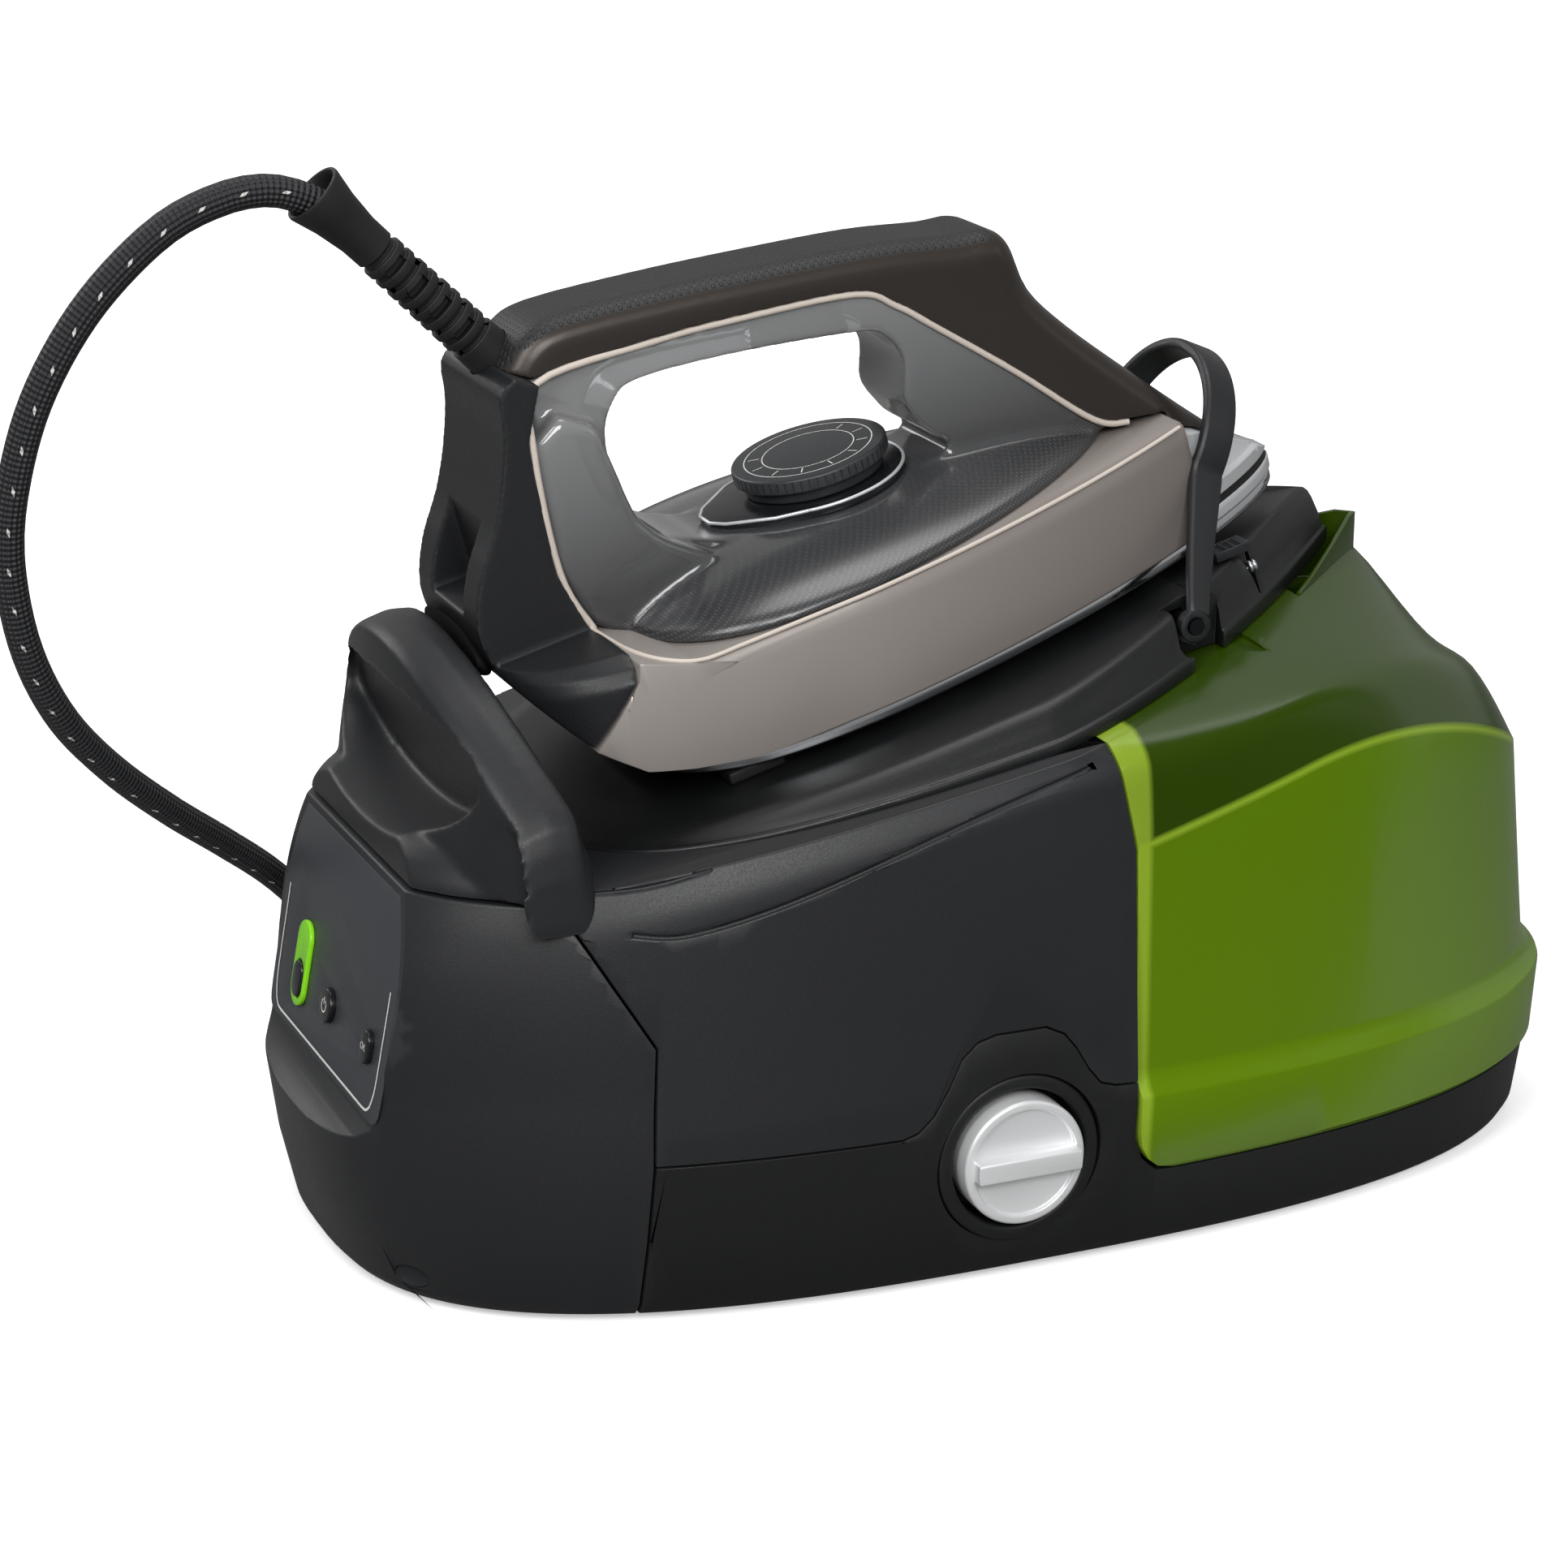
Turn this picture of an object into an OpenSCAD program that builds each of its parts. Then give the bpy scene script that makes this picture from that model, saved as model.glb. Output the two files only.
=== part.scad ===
// Steam generator iron: base station with boiler, pump and removable water tank,
// and a steam iron that rests on top, locked by a hoop over its nose.
// +X runs from the control panel to the tank, +Z is up, and the origin is on the
// plane under the feet, at the middle of the base.

/* [Base station] */
// Distance from the origin to the front of the panel end, at its widest
front_reach = 208; // [204:1:212]
// Distance from the origin to the tank end, at its widest
tank_reach = 207; // [199:1:217]
// Half of the width of the base
base_half = 107.5; // [100:0.5:116]
// Wall of the moulded shells
wall = 2.5; // [2:0.1:3.5]
// Height of the joint line between the lower tray and the upper shells
tray_h = 52; // [46:1:56]
// Height at which the carry handle sits on the panel end
front_top = 128; // [126:0.5:130]
// Gap between separate mouldings that come apart
gap = 0.4; // [0.2:0.1:0.8]
// Height of the rubber feet
foot_h = 3; // [2:0.5:5]

/* [Iron rest] */
// Slope of the rim of the base, in millimetres of rise per millimetre
rim_slope = 0.188; // [0.15:0.002:0.2]
// Height of the rim above the origin
rim_z = 158; // [155:0.5:162]
// Tilt of the resting iron, nose up
iron_tilt = 15.4; // [13:0.2:16]
// Distance from the origin to the iron's reference point
iron_x = 7; // [0:1:12]
// Height of the iron's sole over its reference point
iron_z = 177; // [175:0.5:184]
// Depth of the rest below the sole
rest_drop = 4; // [3.5:0.25:6]

/* [Lock hoop] */
// Distance from the origin to the hoop's pivots
hoop_x = 62; // [58:1:66]
// Height of the hoop's pivots
hoop_z = 181; // [179:0.5:183]
// Distance from the pivots to the middle of the crown
hoop_len = 76; // [74:1:80]
// Half of the distance between the hoop's legs
hoop_half = 58; // [56:0.5:60]
// Lean of the locked hoop towards the nose
hoop_lean = 23; // [18:1:26]
// Width of the hoop's band
hoop_w = 10; // [8:0.5:11]
// Thickness of the hoop's band
hoop_t = 3.4; // [3:0.2:4]

/* [Water tank] */
// Distance from the origin to the tank's front wall
tank_x = 22; // [20:0.5:26]
// Height of the tank's floor
tank_z = 28; // [26:0.5:32]
// Wall of the tank
tank_wall = 2.2; // [1.8:0.1:3]
// Radius of the outlet spigot
spigot_r = 6; // [5:0.25:7]

/* [Calc collector] */
// Radius of the calc knob
knob_r = 19.5; // [17:0.5:21]
// Distance from the origin to the knob's axis, towards the panel
knob_back = 17; // [14:0.5:20]
// Height of the knob's axis
knob_z = 40; // [38:0.5:42]
// Radius of the collector rod
rod_r = 9; // [7:0.5:10]

/* [Iron] */
// Half of the width of the soleplate
sole_half = 59.5; // [56:0.5:62]
// Distance from the reference point to the sole's tip
sole_nose = 117; // [112:1:120]
// Distance from the reference point to the sole's rear edge
sole_rear = 116; // [112:1:120]
// Thickness of the soleplate
sole_t = 4; // [3:0.25:5]
// Height of the heat shield's upper edge above the sole
shield_h = 40; // [37:0.5:42]
// Half of the width of the handle
grip_half = 17.5; // [16:0.5:20]
// Radius of the temperature dial
dial_r = 24; // [21:0.5:26]
// Height of the dial's top face above the sole
dial_top = 65; // [63:0.5:67]

/* [Steam hose] */
// Diameter of the braided hose
hose_d = 9.5; // [8:0.25:11]
// Middle radius of the stored coil
coil_r = 57; // [52:1:62]

/* [Hidden] */
K = 10;                    // steps in a quarter of a moulded outline
fit = 0.05;                // running clearance of a pin in its bore
rest_gap = 0.3;            // gap under a part that only rests
big = 600;                 // reach of a cutting block
shell_base = foot_h;       // underside of the mouldings
knob_x = -knob_back;
seam_x = -128;             // joint between the panel end and the middle shell
floor_t = 3;               // thickness of the tray's floor
tray_floor = shell_base + floor_t;
boiler_r = 44;
boiler_x = -38;
boiler_y = 22;
boiler_z = 26;
boiler_h = 56;
pump_x = -98;
pump_y = -58;
pump_r = 17;
pump_z = tray_floor + 5 + pump_r;
gland_x = -70;
gland_z = 30;
inlet_x = -104;
inlet_z = 26;
latch_y = -35.5;
dock_x = 8;
dock_y = -45;
dock_z = 49;
pill_y = 27;
pill_z = 80;
power_y = -1;
ok_y = -39;
panel_foot = [-197.5, 57];
panel_head = [-184, 128];
panel_half = 58;
panel_lean = atan((panel_head[0] - panel_foot[0]) / (panel_head[1] - panel_foot[1]));
panel_t = 3;

// ---------- shared geometry ----------

// One closed outline in plan: a rounded rear half and a rounded or pointed front half.
// centre, rear reach, front reach, half width, rear power, front powers a and b
function outline(xc, rear, front, half, n, a, b) = concat(
    [for (k = [0 : K - 1])
        [xc + front * pow(cos(90 * k / K), 2 / a), half * pow(sin(90 * k / K), 2 * b)]],
    [for (k = [0 : K - 1])
        [xc - rear * pow(sin(90 * k / K), 2 / n), half * pow(cos(90 * k / K), 2 / n)]],
    [for (k = [0 : K - 1])
        [xc - rear * pow(cos(90 * k / K), 2 / n), -half * pow(sin(90 * k / K), 2 / n)]],
    [for (k = [0 : K - 1])
        [xc + front * pow(sin(90 * k / K), 2 / a), -half * pow(cos(90 * k / K), 2 * b)]]);

// Height of a level at x: level, slope, and a droop that starts at droop_x
droop_x = 80;
function level(z, slope, droop, x) =
    z + slope * x - droop * pow(max(0, x - droop_x), 2);

// A ring is [height, slope, droop, rear, front, half, rear power, a, b]
function ring(r, xc, inset, drop) = [
    for (p = outline(xc, r[3] - inset, r[4] - inset, r[5] - inset, r[6], r[7], r[8]))
        [p[0], p[1], level(r[0], r[1], r[2], p[0]) - drop]];

// Solid through a stack of rings of equal length
module loft(rings) {
    m = len(rings[0]);
    last = len(rings) - 1;
    points = [for (r = rings) each r];
    sides = [for (i = [0 : last - 1]) for (j = [0 : m - 1])
        let (a = i * m + j, b = i * m + (j + 1) % m)
        each [[a, b + m, b], [a, a + m, b + m]]];
    bottom = [[for (j = [0 : m - 1]) j]];
    top = [[for (j = [m - 1 : -1 : 0]) last * m + j]];
    polyhedron(points, concat(bottom, sides, top), convexity = 6);
}

// Rings of the base's skin, from its underside to the rim
skin = [
    [shell_base, 0, 0, front_reach - 9, tank_reach - 4, base_half - 3.5, 2.8, 2.6, 0.385],
    [8, 0, 0, front_reach - 6, tank_reach - 2, base_half - 1.5, 2.8, 2.6, 0.385],
    [28, 0, 0, front_reach - 2, tank_reach - 1, base_half, 2.8, 2.6, 0.385],
    [tray_h + 2, 0, 0, front_reach, tank_reach, base_half, 2.8, 2.6, 0.385],
    [125, 0.27, 0.0044, front_reach, tank_reach - 10, base_half - 1.5, 2.8, 2.5, 0.4],
    [143, 0.235, 0.0039, front_reach - 7, tank_reach - 23, base_half - 4, 2.8, 2.2, 0.45],
    [151, 0.21, 0.0036, front_reach - 13, tank_reach - 36, base_half - 6, 2.8, 1.8, 0.6],
    [rim_z, rim_slope, 0, front_reach - 20, tank_reach - 61, base_half - 9.5, 2.8, 1.4, 1]];

// The whole skin, made smaller all round by inset and lower at the top by drop
module skin_solid(inset = 0, drop = 0) {
    count = len(skin);
    loft([for (i = [0 : count - 1])
        ring(skin[i], 0, inset, i == count - 1 ? drop : i == 0 && inset > 0 ? 1 : 0)]);
}

// A side view region drawn in XZ, as wide as the object
module side_region(points, half = 200) {
    translate([0, half, 0])
        rotate([90, 0, 0])
            linear_extrude(2 * half) polygon(points);
}

// Joint line between the panel end and the middle shell
seam = [[seam_x - 4, -20], [seam_x, tray_h], [seam_x + 2, 87], [seam_x - 8, 104],
    [seam_x - 16, 118], [seam_x - 24, 132], [seam_x - 24, 300]];

// Joint line between the tray and the middle shell, lifted over the knob
swoosh = [[seam_x, tray_h], [knob_x - 38, tray_h], [knob_x - 28, knob_z + 18],
    [knob_x - 19, knob_z + 34], [knob_x - 8, knob_z + 40], [knob_x + 8, knob_z + 40],
    [knob_x + 18, knob_z + 32], [knob_x + 26, knob_z + 20], [tank_x - gap, tray_h + 6]];

// Front edge of the tank, seen from the side
tank_edge = [[tank_x - 7, rim_z + 60], [tank_x - 7, rim_z + 3], [tank_x - 1, 130],
    [tank_x, 60], [tank_x, 40], [tank_x + 3, 33], [tank_x + 8, tank_z + 0.6],
    [tank_x + 13, tank_z]];

function shift(points, dx, dz) = [for (p = points) [p[0] + dx, p[1] + dz]];
function flip(points) = [for (i = [len(points) - 1 : -1 : 0]) points[i]];

// Rods, pipes and hoses: a tube swept along a list of points
function unit(v) = v / norm(v);
function along(path, i) = let (last = len(path) - 1)
    unit(i == 0 ? path[1] - path[0]
        : i == last ? path[last] - path[last - 1]
        : unit(path[i + 1] - path[i]) + unit(path[i] - path[i - 1]));
function carried(path, i) = i == 0
    ? (let (t = along(path, 0), s = abs(t[2]) > 0.9 ? [1, 0, 0] : [0, 0, 1])
        unit(cross(t, s)))
    : (let (n = carried(path, i - 1), t = along(path, i)) unit(n - (n * t) * t));
module tube(path, r, sides = 12) {
    rings = [for (i = [0 : len(path) - 1])
        let (n = carried(path, i), b = cross(along(path, i), n))
        [for (j = [0 : sides - 1])
            path[i] + r * (cos(360 * j / sides) * n + sin(360 * j / sides) * b)]];
    loft(rings);
}

// Points of a smooth curve through the given ones, with steps points to a stretch
function catmull(p0, p1, p2, p3, t) =
    0.5 * (2 * p1 + (p2 - p0) * t + (2 * p0 - 5 * p1 + 4 * p2 - p3) * t * t
        + (3 * p1 - p0 - 3 * p2 + p3) * t * t * t);
function smooth(path, steps) = let (last = len(path) - 1) concat(
    [for (i = [0 : last - 1]) for (s = [0 : steps - 1])
        catmull(path[max(i - 1, 0)], path[i], path[i + 1], path[min(i + 2, last)],
            s / steps)],
    [path[last]]);

// Places its children in the iron's own frame: x along the sole, z off the sole
module iron_frame() {
    translate([iron_x, 0, iron_z])
        rotate([0, -iron_tilt, 0])
            children();
}

// Places its children on the control panel: x out of it, y across, z up its face
module panel_frame(y, z) {
    slope = (panel_head[0] - panel_foot[0]) / (panel_head[1] - panel_foot[1]);
    translate([panel_foot[0] + slope * (z - panel_foot[1]), y, z])
        rotate([0, panel_lean, 0])
            rotate([0, 0, 180])
                children();
}

// A round bar along X, Y or Z from a point
module bar_x(p, r, len) translate(p) rotate([0, 90, 0]) cylinder(r = r, h = len, $fn = 48);
module bar_y(p, r, len) translate(p) rotate([-90, 0, 0]) cylinder(r = r, h = len, $fn = 48);
module bar_z(p, r, len) translate(p) cylinder(r = r, h = len, $fn = 48);

// ---------- base station, outside ----------

// Lower tray: floor, side walls up to the joint line, and the tank's platform
module base_tray() {
    below = concat([[seam_x - 4 + gap / 4, -20]], [[seam_x + gap / 4, tray_h]],
        [for (i = [1 : len(swoosh) - 1]) swoosh[i]],
        [[tank_x - gap, 40], [tank_x - gap + 3, 33 - gap], [tank_x + 7.6, tank_z + 0.2],
            [tank_x + 13, tank_z - gap], [big, tank_z - gap], [big, -20]]);
    inside = concat([[seam_x - 30, tray_floor]], [[seam_x - 30, 200], [tank_x - 3.4, 200],
        [tank_x - 3.4, 34], [tank_x + 8, tank_z - 3.4], [big, tank_z - 3.4],
        [big, tray_floor]]);
    color("#1c1d1f")
        resize([0, 0, 0])
            difference() {
                intersection() {
                    skin_solid();
                    side_region(below);
                }
                intersection() {
                    skin_solid(wall, 1);
                    side_region(inside);
                }
                bar_y([knob_x, -big, knob_z], knob_r + 7, big - 60);
                bar_x([tank_x - 20, dock_y, dock_z], spigot_r + 1, 30);
                bar_y([gland_x, 60, gland_z], 9, 80);
                bar_y([inlet_x, 60, inlet_z], 8, 80);
            }
}

// Panel end: a deep shell that reaches the floor, flattened where the panel sits
module front_housing() {
    left = concat([[-big, -20]], seam, [[-big, 300]]);
    left_cut = shift(left, 10, 0);
    recess = [[-big, panel_foot[1]], panel_foot, panel_head, [panel_head[0], 160],
        [-big, 160]];
    color("#232426")
        resize([0, 0, 0])
            difference() {
                intersection() {
                    skin_solid();
                    side_region(left);
                    translate([-big, -big, 0]) cube([2 * big, 2 * big, front_top]);
                }
                difference() {
                    intersection() {
                        skin_solid(wall, wall);
                        side_region(left_cut);
                        translate([-big, -big, 0])
                            cube([2 * big, 2 * big, front_top - wall]);
                    }
                    side_region([[-big, 0], shift([panel_foot], wall, -4)[0],
                        shift([panel_head], wall, 0)[0], [-big, 200]], panel_half + 3);
                }
                side_region(recess, panel_half);
                for (p = [[pill_y, pill_z - 5], [power_y, 77], [ok_y, 78]])
                    panel_frame(p[0], p[1])
                        translate([-12, 0, 0])
                            rotate([0, 90, 0]) cylinder(r = 8, h = 20, $fn = 32);
                translate([-199, -56, 3]) rotate([0, 70, 42]) cylinder(r = 4.5, h = 14, $fn = 24);
            }
}

// Middle shell: both side walls, the bulkhead towards the tank and a flange on top
module main_housing() {
    edge = flip(shift([for (i = [1 : 3]) tank_edge[i]], -gap, 0));
    region = concat([for (i = [1 : len(seam) - 1]) seam[i] + [gap / 4, i == 1 ? gap / 4 : 0]],
        [[tank_x - 7 - gap, 300]],
        flip(edge), flip([for (i = [1 : len(swoosh) - 1]) swoosh[i] + [0, gap / 4]]));
    hollow = [[seam_x - 60, 0], [seam_x - 60, 300], [tank_x - 10 - gap, 300],
        [tank_x - 10 - gap, rim_z + 3], [tank_x - 4 - gap, 130], [tank_x - 3.4, 60],
        [tank_x - 3.4, 0]];
    color("#26272a")
        resize([0, 0, 0])
            difference() {
                intersection() {
                    skin_solid();
                    side_region(region);
                }
                intersection() {
                    skin_solid(wall, wall);
                    side_region(hollow);
                }
                rest_opening();
                translate([0, 0, -1]) hoop_wells();
                intersection() {
                    skin_solid(-1);
                    side_region([[-big, front_top - 3], [-big, 300], [seam_x - 22, 300],
                        [seam_x - 22, front_top - 3]]);
                }
            }
}

// Outline of the iron rest, smaller all round by inset
function rest_outline(inset) = outline(0, 138 - inset, tank_reach - 65 - inset,
    base_half - 16 - inset, 3, 1.4, 0.95);

module rest_opening() {
    linear_extrude(300) polygon(rest_outline(8));
}

// Blocks left solid round the hoop's wells, larger all round by grow
module hoop_wells(grow = 0) {
    for (side = [-1, 1])
        translate([hoop_x - 9 - grow, side * hoop_half - (side > 0 ? 14 : 6) - grow,
            hoop_z - 9 - 10 * grow])
            cube([31 + 2 * grow, 20 + 2 * grow, 60]);
}

// Lugs inside the wells, which carry the hoop's pins
module hoop_lugs() {
    for (side = [-1, 1])
        translate([hoop_x - 4.5, side * hoop_half - (side > 0 ? 9 : -3.6), hoop_z - 10])
            cube([9, 5.4, 14]);
}

// Height of the rim plane at x, and of the rest's top above the reference plane
function rim(x) = rim_z + rim_slope * x;
function rest_top(x) = iron_z - rest_drop / cos(iron_tilt) + (x - iron_x) * tan(iron_tilt);

// Iron rest: a boat-shaped hollow cover whose top lies parallel to the sole
module iron_rest() {
    nose = rest_outline(0)[0][0];
    above = [[-200, rim(-200)], [nose + 1, rim(nose + 1)], [nose - 1, 190], [nose - 4, 196],
        [nose - 10, 202], [nose - 18, rest_top(nose - 18)], [-200, rest_top(-200)]];
    color("#1b1c1d")
        difference() {
            union() {
                intersection() {
                    translate([0, 0, 60]) linear_extrude(240) polygon(rest_outline(0));
                    side_region(above);
                    translate([seam_x - 10, -200, 0]) cube([500, 400, 400]);
                }
            }
            difference() {
                intersection() {
                    translate([0, 0, 60]) linear_extrude(240) polygon(rest_outline(3));
                    side_region(shift(above, 0, -3));
                    translate([seam_x - 7, -200, 0]) cube([500, 400, 400]);
                }
                iron_frame() translate([89.2, -40, -18]) cube([2.3, 9.5, 20]);
                hoop_wells(2);
            }
            difference() {
                hoop_wells();
                hoop_lugs();
            }
            bar_y([hoop_x, -hoop_half, hoop_z], 2.5, 2 * hoop_half);
            iron_frame() translate([76.7, latch_y - 2.8, -20]) cube([11, 5.6, 40]);
        }
}

// Heat-proof pads that carry the sole: two at the rear corners and one near the nose
module rest_pads() {
    color("#0c0c0d")
        iron_frame()
            for (p = [[-88, 38], [-88, -38], [66, 0]])
                translate([p[0] - 9, p[1] - 14, -rest_drop])
                    cube([18, 28, rest_drop - rest_gap]);
}

// Carry handle: a cover over the panel end whose top is an arch with a hand scoop
module carry_handle() {
    stations = 12;
    reach = base_half - 17;
    arch = [for (i = [0 : stations])
        let (y = -reach + 2 * reach * i / stations, u = abs(y) / reach,
            lean = 16 * u * u, top = 192 - 38 * u * u,
            foot_x = -front_reach + 25 + 26 * pow(u, 3))
        [[foot_x, y, front_top + 0.1], [seam_x - 24.6, y, front_top + 0.1],
            [seam_x - 22, y, 141], [-160 + lean, y, top], [-166 + lean, y, top + 1],
            [-175 + lean, y, top - 5], [-176 + lean, y, top - 13],
            [max(foot_x + 3, -178 + lean), y, 141]]];
    color("#202123")
        resize([0, 0, 0])
            difference() {
                loft(arch);
                translate([-160.5, 0, 160.3])
                    rotate([0, -101, 0])
                        scale([20.7, 66, 1]) cylinder(r = 1, h = 100, $fn = 48);
            }
}

// Four rubber feet
module feet() {
    color("#101010")
        for (x = [-120, 130]) for (y = [-66, 66])
            translate([x, y, 0]) cylinder(r = 10, h = foot_h, $fn = 48);
}

// Control panel: a thin plate that leans back in the flattened panel end
module control_panel() {
    tall = norm(panel_head - panel_foot) - 0.8;
    color("#34363a")
        difference() {
            panel_frame(0, panel_foot[1])
                translate([0.1, -panel_half + 0.4, 0.4])
                    cube([panel_t, 2 * panel_half - 0.8, tall]);
            translate([0, 0, front_top - 0.4]) translate([-300, -300, 0]) cube([600, 600, 50]);
            panel_frame(pill_y, pill_z) slot_bar(6.2, 15, -1, 9);
            panel_frame(power_y, 77) bar_x([-1, 0, 0], 5.6, 9);
            panel_frame(ok_y, 78) slot_bar(3.9, 3, -1, 9);
        }
}

// A bar with round ends along the panel's normal: radius, straight length, start, length
module slot_bar(r, straight, from, len) {
    translate([from, 0, 0])
        rotate([90, 0, 90])
            linear_extrude(len) {
                translate([0, straight / 2]) circle(r = r, $fn = 48);
                translate([0, -straight / 2]) circle(r = r, $fn = 48);
                translate([-r, -straight / 2]) square([2 * r, straight]);
            }
}

// Green surround of the economy button
module eco_bezel() {
    color("#6fcf2f")
        panel_frame(pill_y, pill_z)
            difference() {
                slot_bar(6, 15, 0.3, panel_t + 0.2);
                translate([0, 0, -5]) slot_bar(4.1, 4, -1, 9);
            }
}

module eco_button() {
    color("#16171a")
        panel_frame(pill_y, pill_z) translate([0, 0, -5]) slot_bar(3.8, 4, -1.6, 6.2);
}

module power_button() {
    color("#16171a")
        panel_frame(power_y, 77) bar_x([-1.6, 0, 0], 5.3, 6);
}

module ok_button() {
    color("#16171a")
        panel_frame(ok_y, 78) slot_bar(3.6, 3, -1.6, 6);
}

// Circuit board behind the panel, with a key switch under each button
module panel_board() {
    color("#1d5a34")
        panel_frame(-6, 80) translate([-11.5, -46, -14]) cube([1.6, 92, 30]);
    color("#c8c8c8")
        for (p = [[pill_y, pill_z - 5], [power_y, 77], [ok_y, 78]])
            panel_frame(p[0], p[1]) translate([-9.9, -2.6, -2.6]) cube([5.8, 5.2, 5.2]);
    color("#232426")
        for (y = [-44, 36])
            panel_frame(y, 80) bar_x([-9.9, 0, 10], 2.5, 7);
}

// ---------- calc collector ----------

// Round collar that lines the recess around the knob
module knob_collar() {
    color("#161718")
        difference() {
            bar_y([knob_x, -base_half + 0.5, knob_z], knob_r + 6.6, 14);
            bar_y([knob_x, -base_half - 1, knob_z], knob_r + 2, 13);
            bar_y([knob_x, -base_half - 1, knob_z], rod_r + 1, 30);
        }
}

// Silver knob with a raised grip bar
module calc_knob() {
    face_y = -base_half - 4;
    color("#c9ccd0")
        union() {
            bar_y([knob_x, face_y, knob_z], knob_r, 12);
            intersection() {
                bar_y([knob_x, face_y - 4, knob_z], knob_r - 0.6, 8);
                translate([knob_x - knob_r, face_y - 4, knob_z - 3])
                    cube([2 * knob_r, 8, 6]);
            }
        }
}

// Rod and cup on the knob that gather the scale inside the boiler
module calc_collector() {
    start = -base_half + 8;
    color("#8e7f5a")
        difference() {
            bar_y([knob_x, start, knob_z], rod_r, 95);
            translate([knob_x - 5, start + 60, knob_z - 1]) cube([10, 30, 20]);
        }
}

// Sealing ring on the collector, in the boiler's neck
module calc_seal() {
    color("#7a2e1d")
        translate([knob_x, -70, knob_z])
            rotate([90, 0, 0])
                rotate_extrude($fn = 48)
                    translate([rod_r + 1.1, 0]) circle(r = 1, $fn = 16);
}

// ---------- lock hoop ----------

// Band that leans over the nose: two legs, a round crown, and an eye at each pivot
module lock_hoop() {
    crown = 36.5;
    color("#141415")
        translate([hoop_x, 0, hoop_z])
            rotate([0, hoop_lean, 0])
                difference() {
                    translate([-hoop_w / 2, 0, 0])
                        rotate([90, 0, 90])
                            linear_extrude(hoop_w)
                                difference() {
                                    hoop_shape(0, crown);
                                    hoop_shape(hoop_t, crown);
                                    translate([-100, -100]) square([200, 100 - 6]);
                                }
                    bar_y([0, -100, 0], 2.5 + fit, 200);
                }
}

// The hoop seen from the front: straight legs that draw in towards a round crown
module hoop_shape(inset, crown) {
    top = hoop_len + hoop_t / 2 - inset;
    steps = 16;
    polygon(concat(
        [[-hoop_half - 2 + inset, -20], [-hoop_half - 2 + inset, 6]],
        [for (i = [0 : steps]) let (a = 180 - 180 * i / steps)
            [(crown - inset) * cos(a), top - crown + inset + (crown - inset) * sin(a)]],
        [[hoop_half + 2 - inset, 6], [hoop_half + 2 - inset, -20]]));
}

// Pins on which the hoop swings, fixed in the rest's pockets
module hoop_pins() {
    color("#8d9094")
        for (side = [-1, 1])
            bar_y([hoop_x, side * hoop_half - (side > 0 ? 9 : 3), hoop_z], 2.5, 12);
}

// Sliding catch of the hoop: a thumb tab on the rest and a stem through its slot
module hoop_latch() {
    color("#2b2c2e")
        iron_frame() {
            translate([75, latch_y - 4, -rest_drop + 0.3]) cube([12, 8, 3]);
            translate([77, latch_y - 2.5, -rest_drop - 10]) cube([4, 5, 10.4]);
        }
}

// Spring of the catch against the rib under the rest, at the length it has when the
// catch is pushed home
spring_turns = 2;
module latch_spring() {
    color("#9a9da1")
        iron_frame()
            for (i = [0 : spring_turns - 1])
                translate([86.9 + 1.38 * i, latch_y, -rest_drop - 6.6])
                    rotate([0, 90, 0])
                        rotate_extrude($fn = 24) translate([1.4, 0]) circle(r = 0.7, $fn = 16);
}

// ---------- water tank ----------

// Rings of the tank's skin: a proud lower band with a ledge, then the base's own skin
tank_skin = concat([
    [tank_z, 0, 0, 100, tank_reach - 1.5, base_half - 1, 2.8, 2.6, 0.385],
    [tank_z + 4, 0, 0, 100, tank_reach + 1, base_half + 0.8, 2.8, 2.6, 0.385],
    [tank_z + 25, 0, 0, 100, tank_reach + 1, base_half + 0.8, 2.8, 2.6, 0.385],
    [tank_z + 31, 0, 0, 100, tank_reach - 4, base_half - 1.5, 2.8, 2.6, 0.385]],
    [for (i = [4 : len(skin) - 1]) skin[i]]);

module tank_solid(inset = 0, drop = 0) {
    count = len(tank_skin);
    loft([for (i = [0 : count - 1])
        ring(tank_skin[i], 0, inset,
            i == count - 1 ? drop : i == 0 && inset > 0 ? -tank_wall : 0)]);
}

// Green water tank, open at the spout behind the nose of the rest
module water_tank() {
    body = concat(tank_edge, [[big, tank_z - 1], [big, rim_z + 80]]);
    hollow = concat(shift(tank_edge, tank_wall, 0), [[big, tank_z], [big, rim_z + 80]]);
    color("#5f9a12", 0.8)
        resize([0, 0, 0])
            difference() {
                union() {
                    difference() {
                        intersection() {
                            tank_solid(0, gap);
                            side_region(body);
                        }
                        intersection() {
                            tank_solid(tank_wall, tank_wall + gap);
                            side_region(hollow);
                        }
                        bar_x([tank_x - 5, dock_y, dock_z], spigot_r + 0.1, 12);
                    }
                    spout(0);
                }
                spout(tank_wall);
                rest_clear();
                hoop_wells();
            }
}

// Spout that stands up behind the nose of the rest
module spout(inset) {
    nose = tank_reach - 55 - inset;
    low = inset > 0 ? 14 : 6;
    high = inset > 0 ? 30 : 0;
    intersection() {
        translate([0, 0, rim_z]) linear_extrude(70)
            polygon(outline(0, 100, nose, base_half - 12 - inset, 2.8, 1.4, 0.95));
        side_region([[112, rim(112) - low], [170, rim(170) - low], [170, 193 + high],
            [nose - 5, 193 + high], [118, rim(118) + 1 + high], [112, rim(112) + high]],
            46 - inset);
    }
}

// Room for the iron rest above the rim, with clearance
module rest_clear() {
    intersection() {
        linear_extrude(300) polygon(rest_outline(-2 * gap));
        side_region([[-big, rim(-big) - gap], [big, rim(big) - gap], [big, 400], [-big, 400]]);
    }
}

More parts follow.
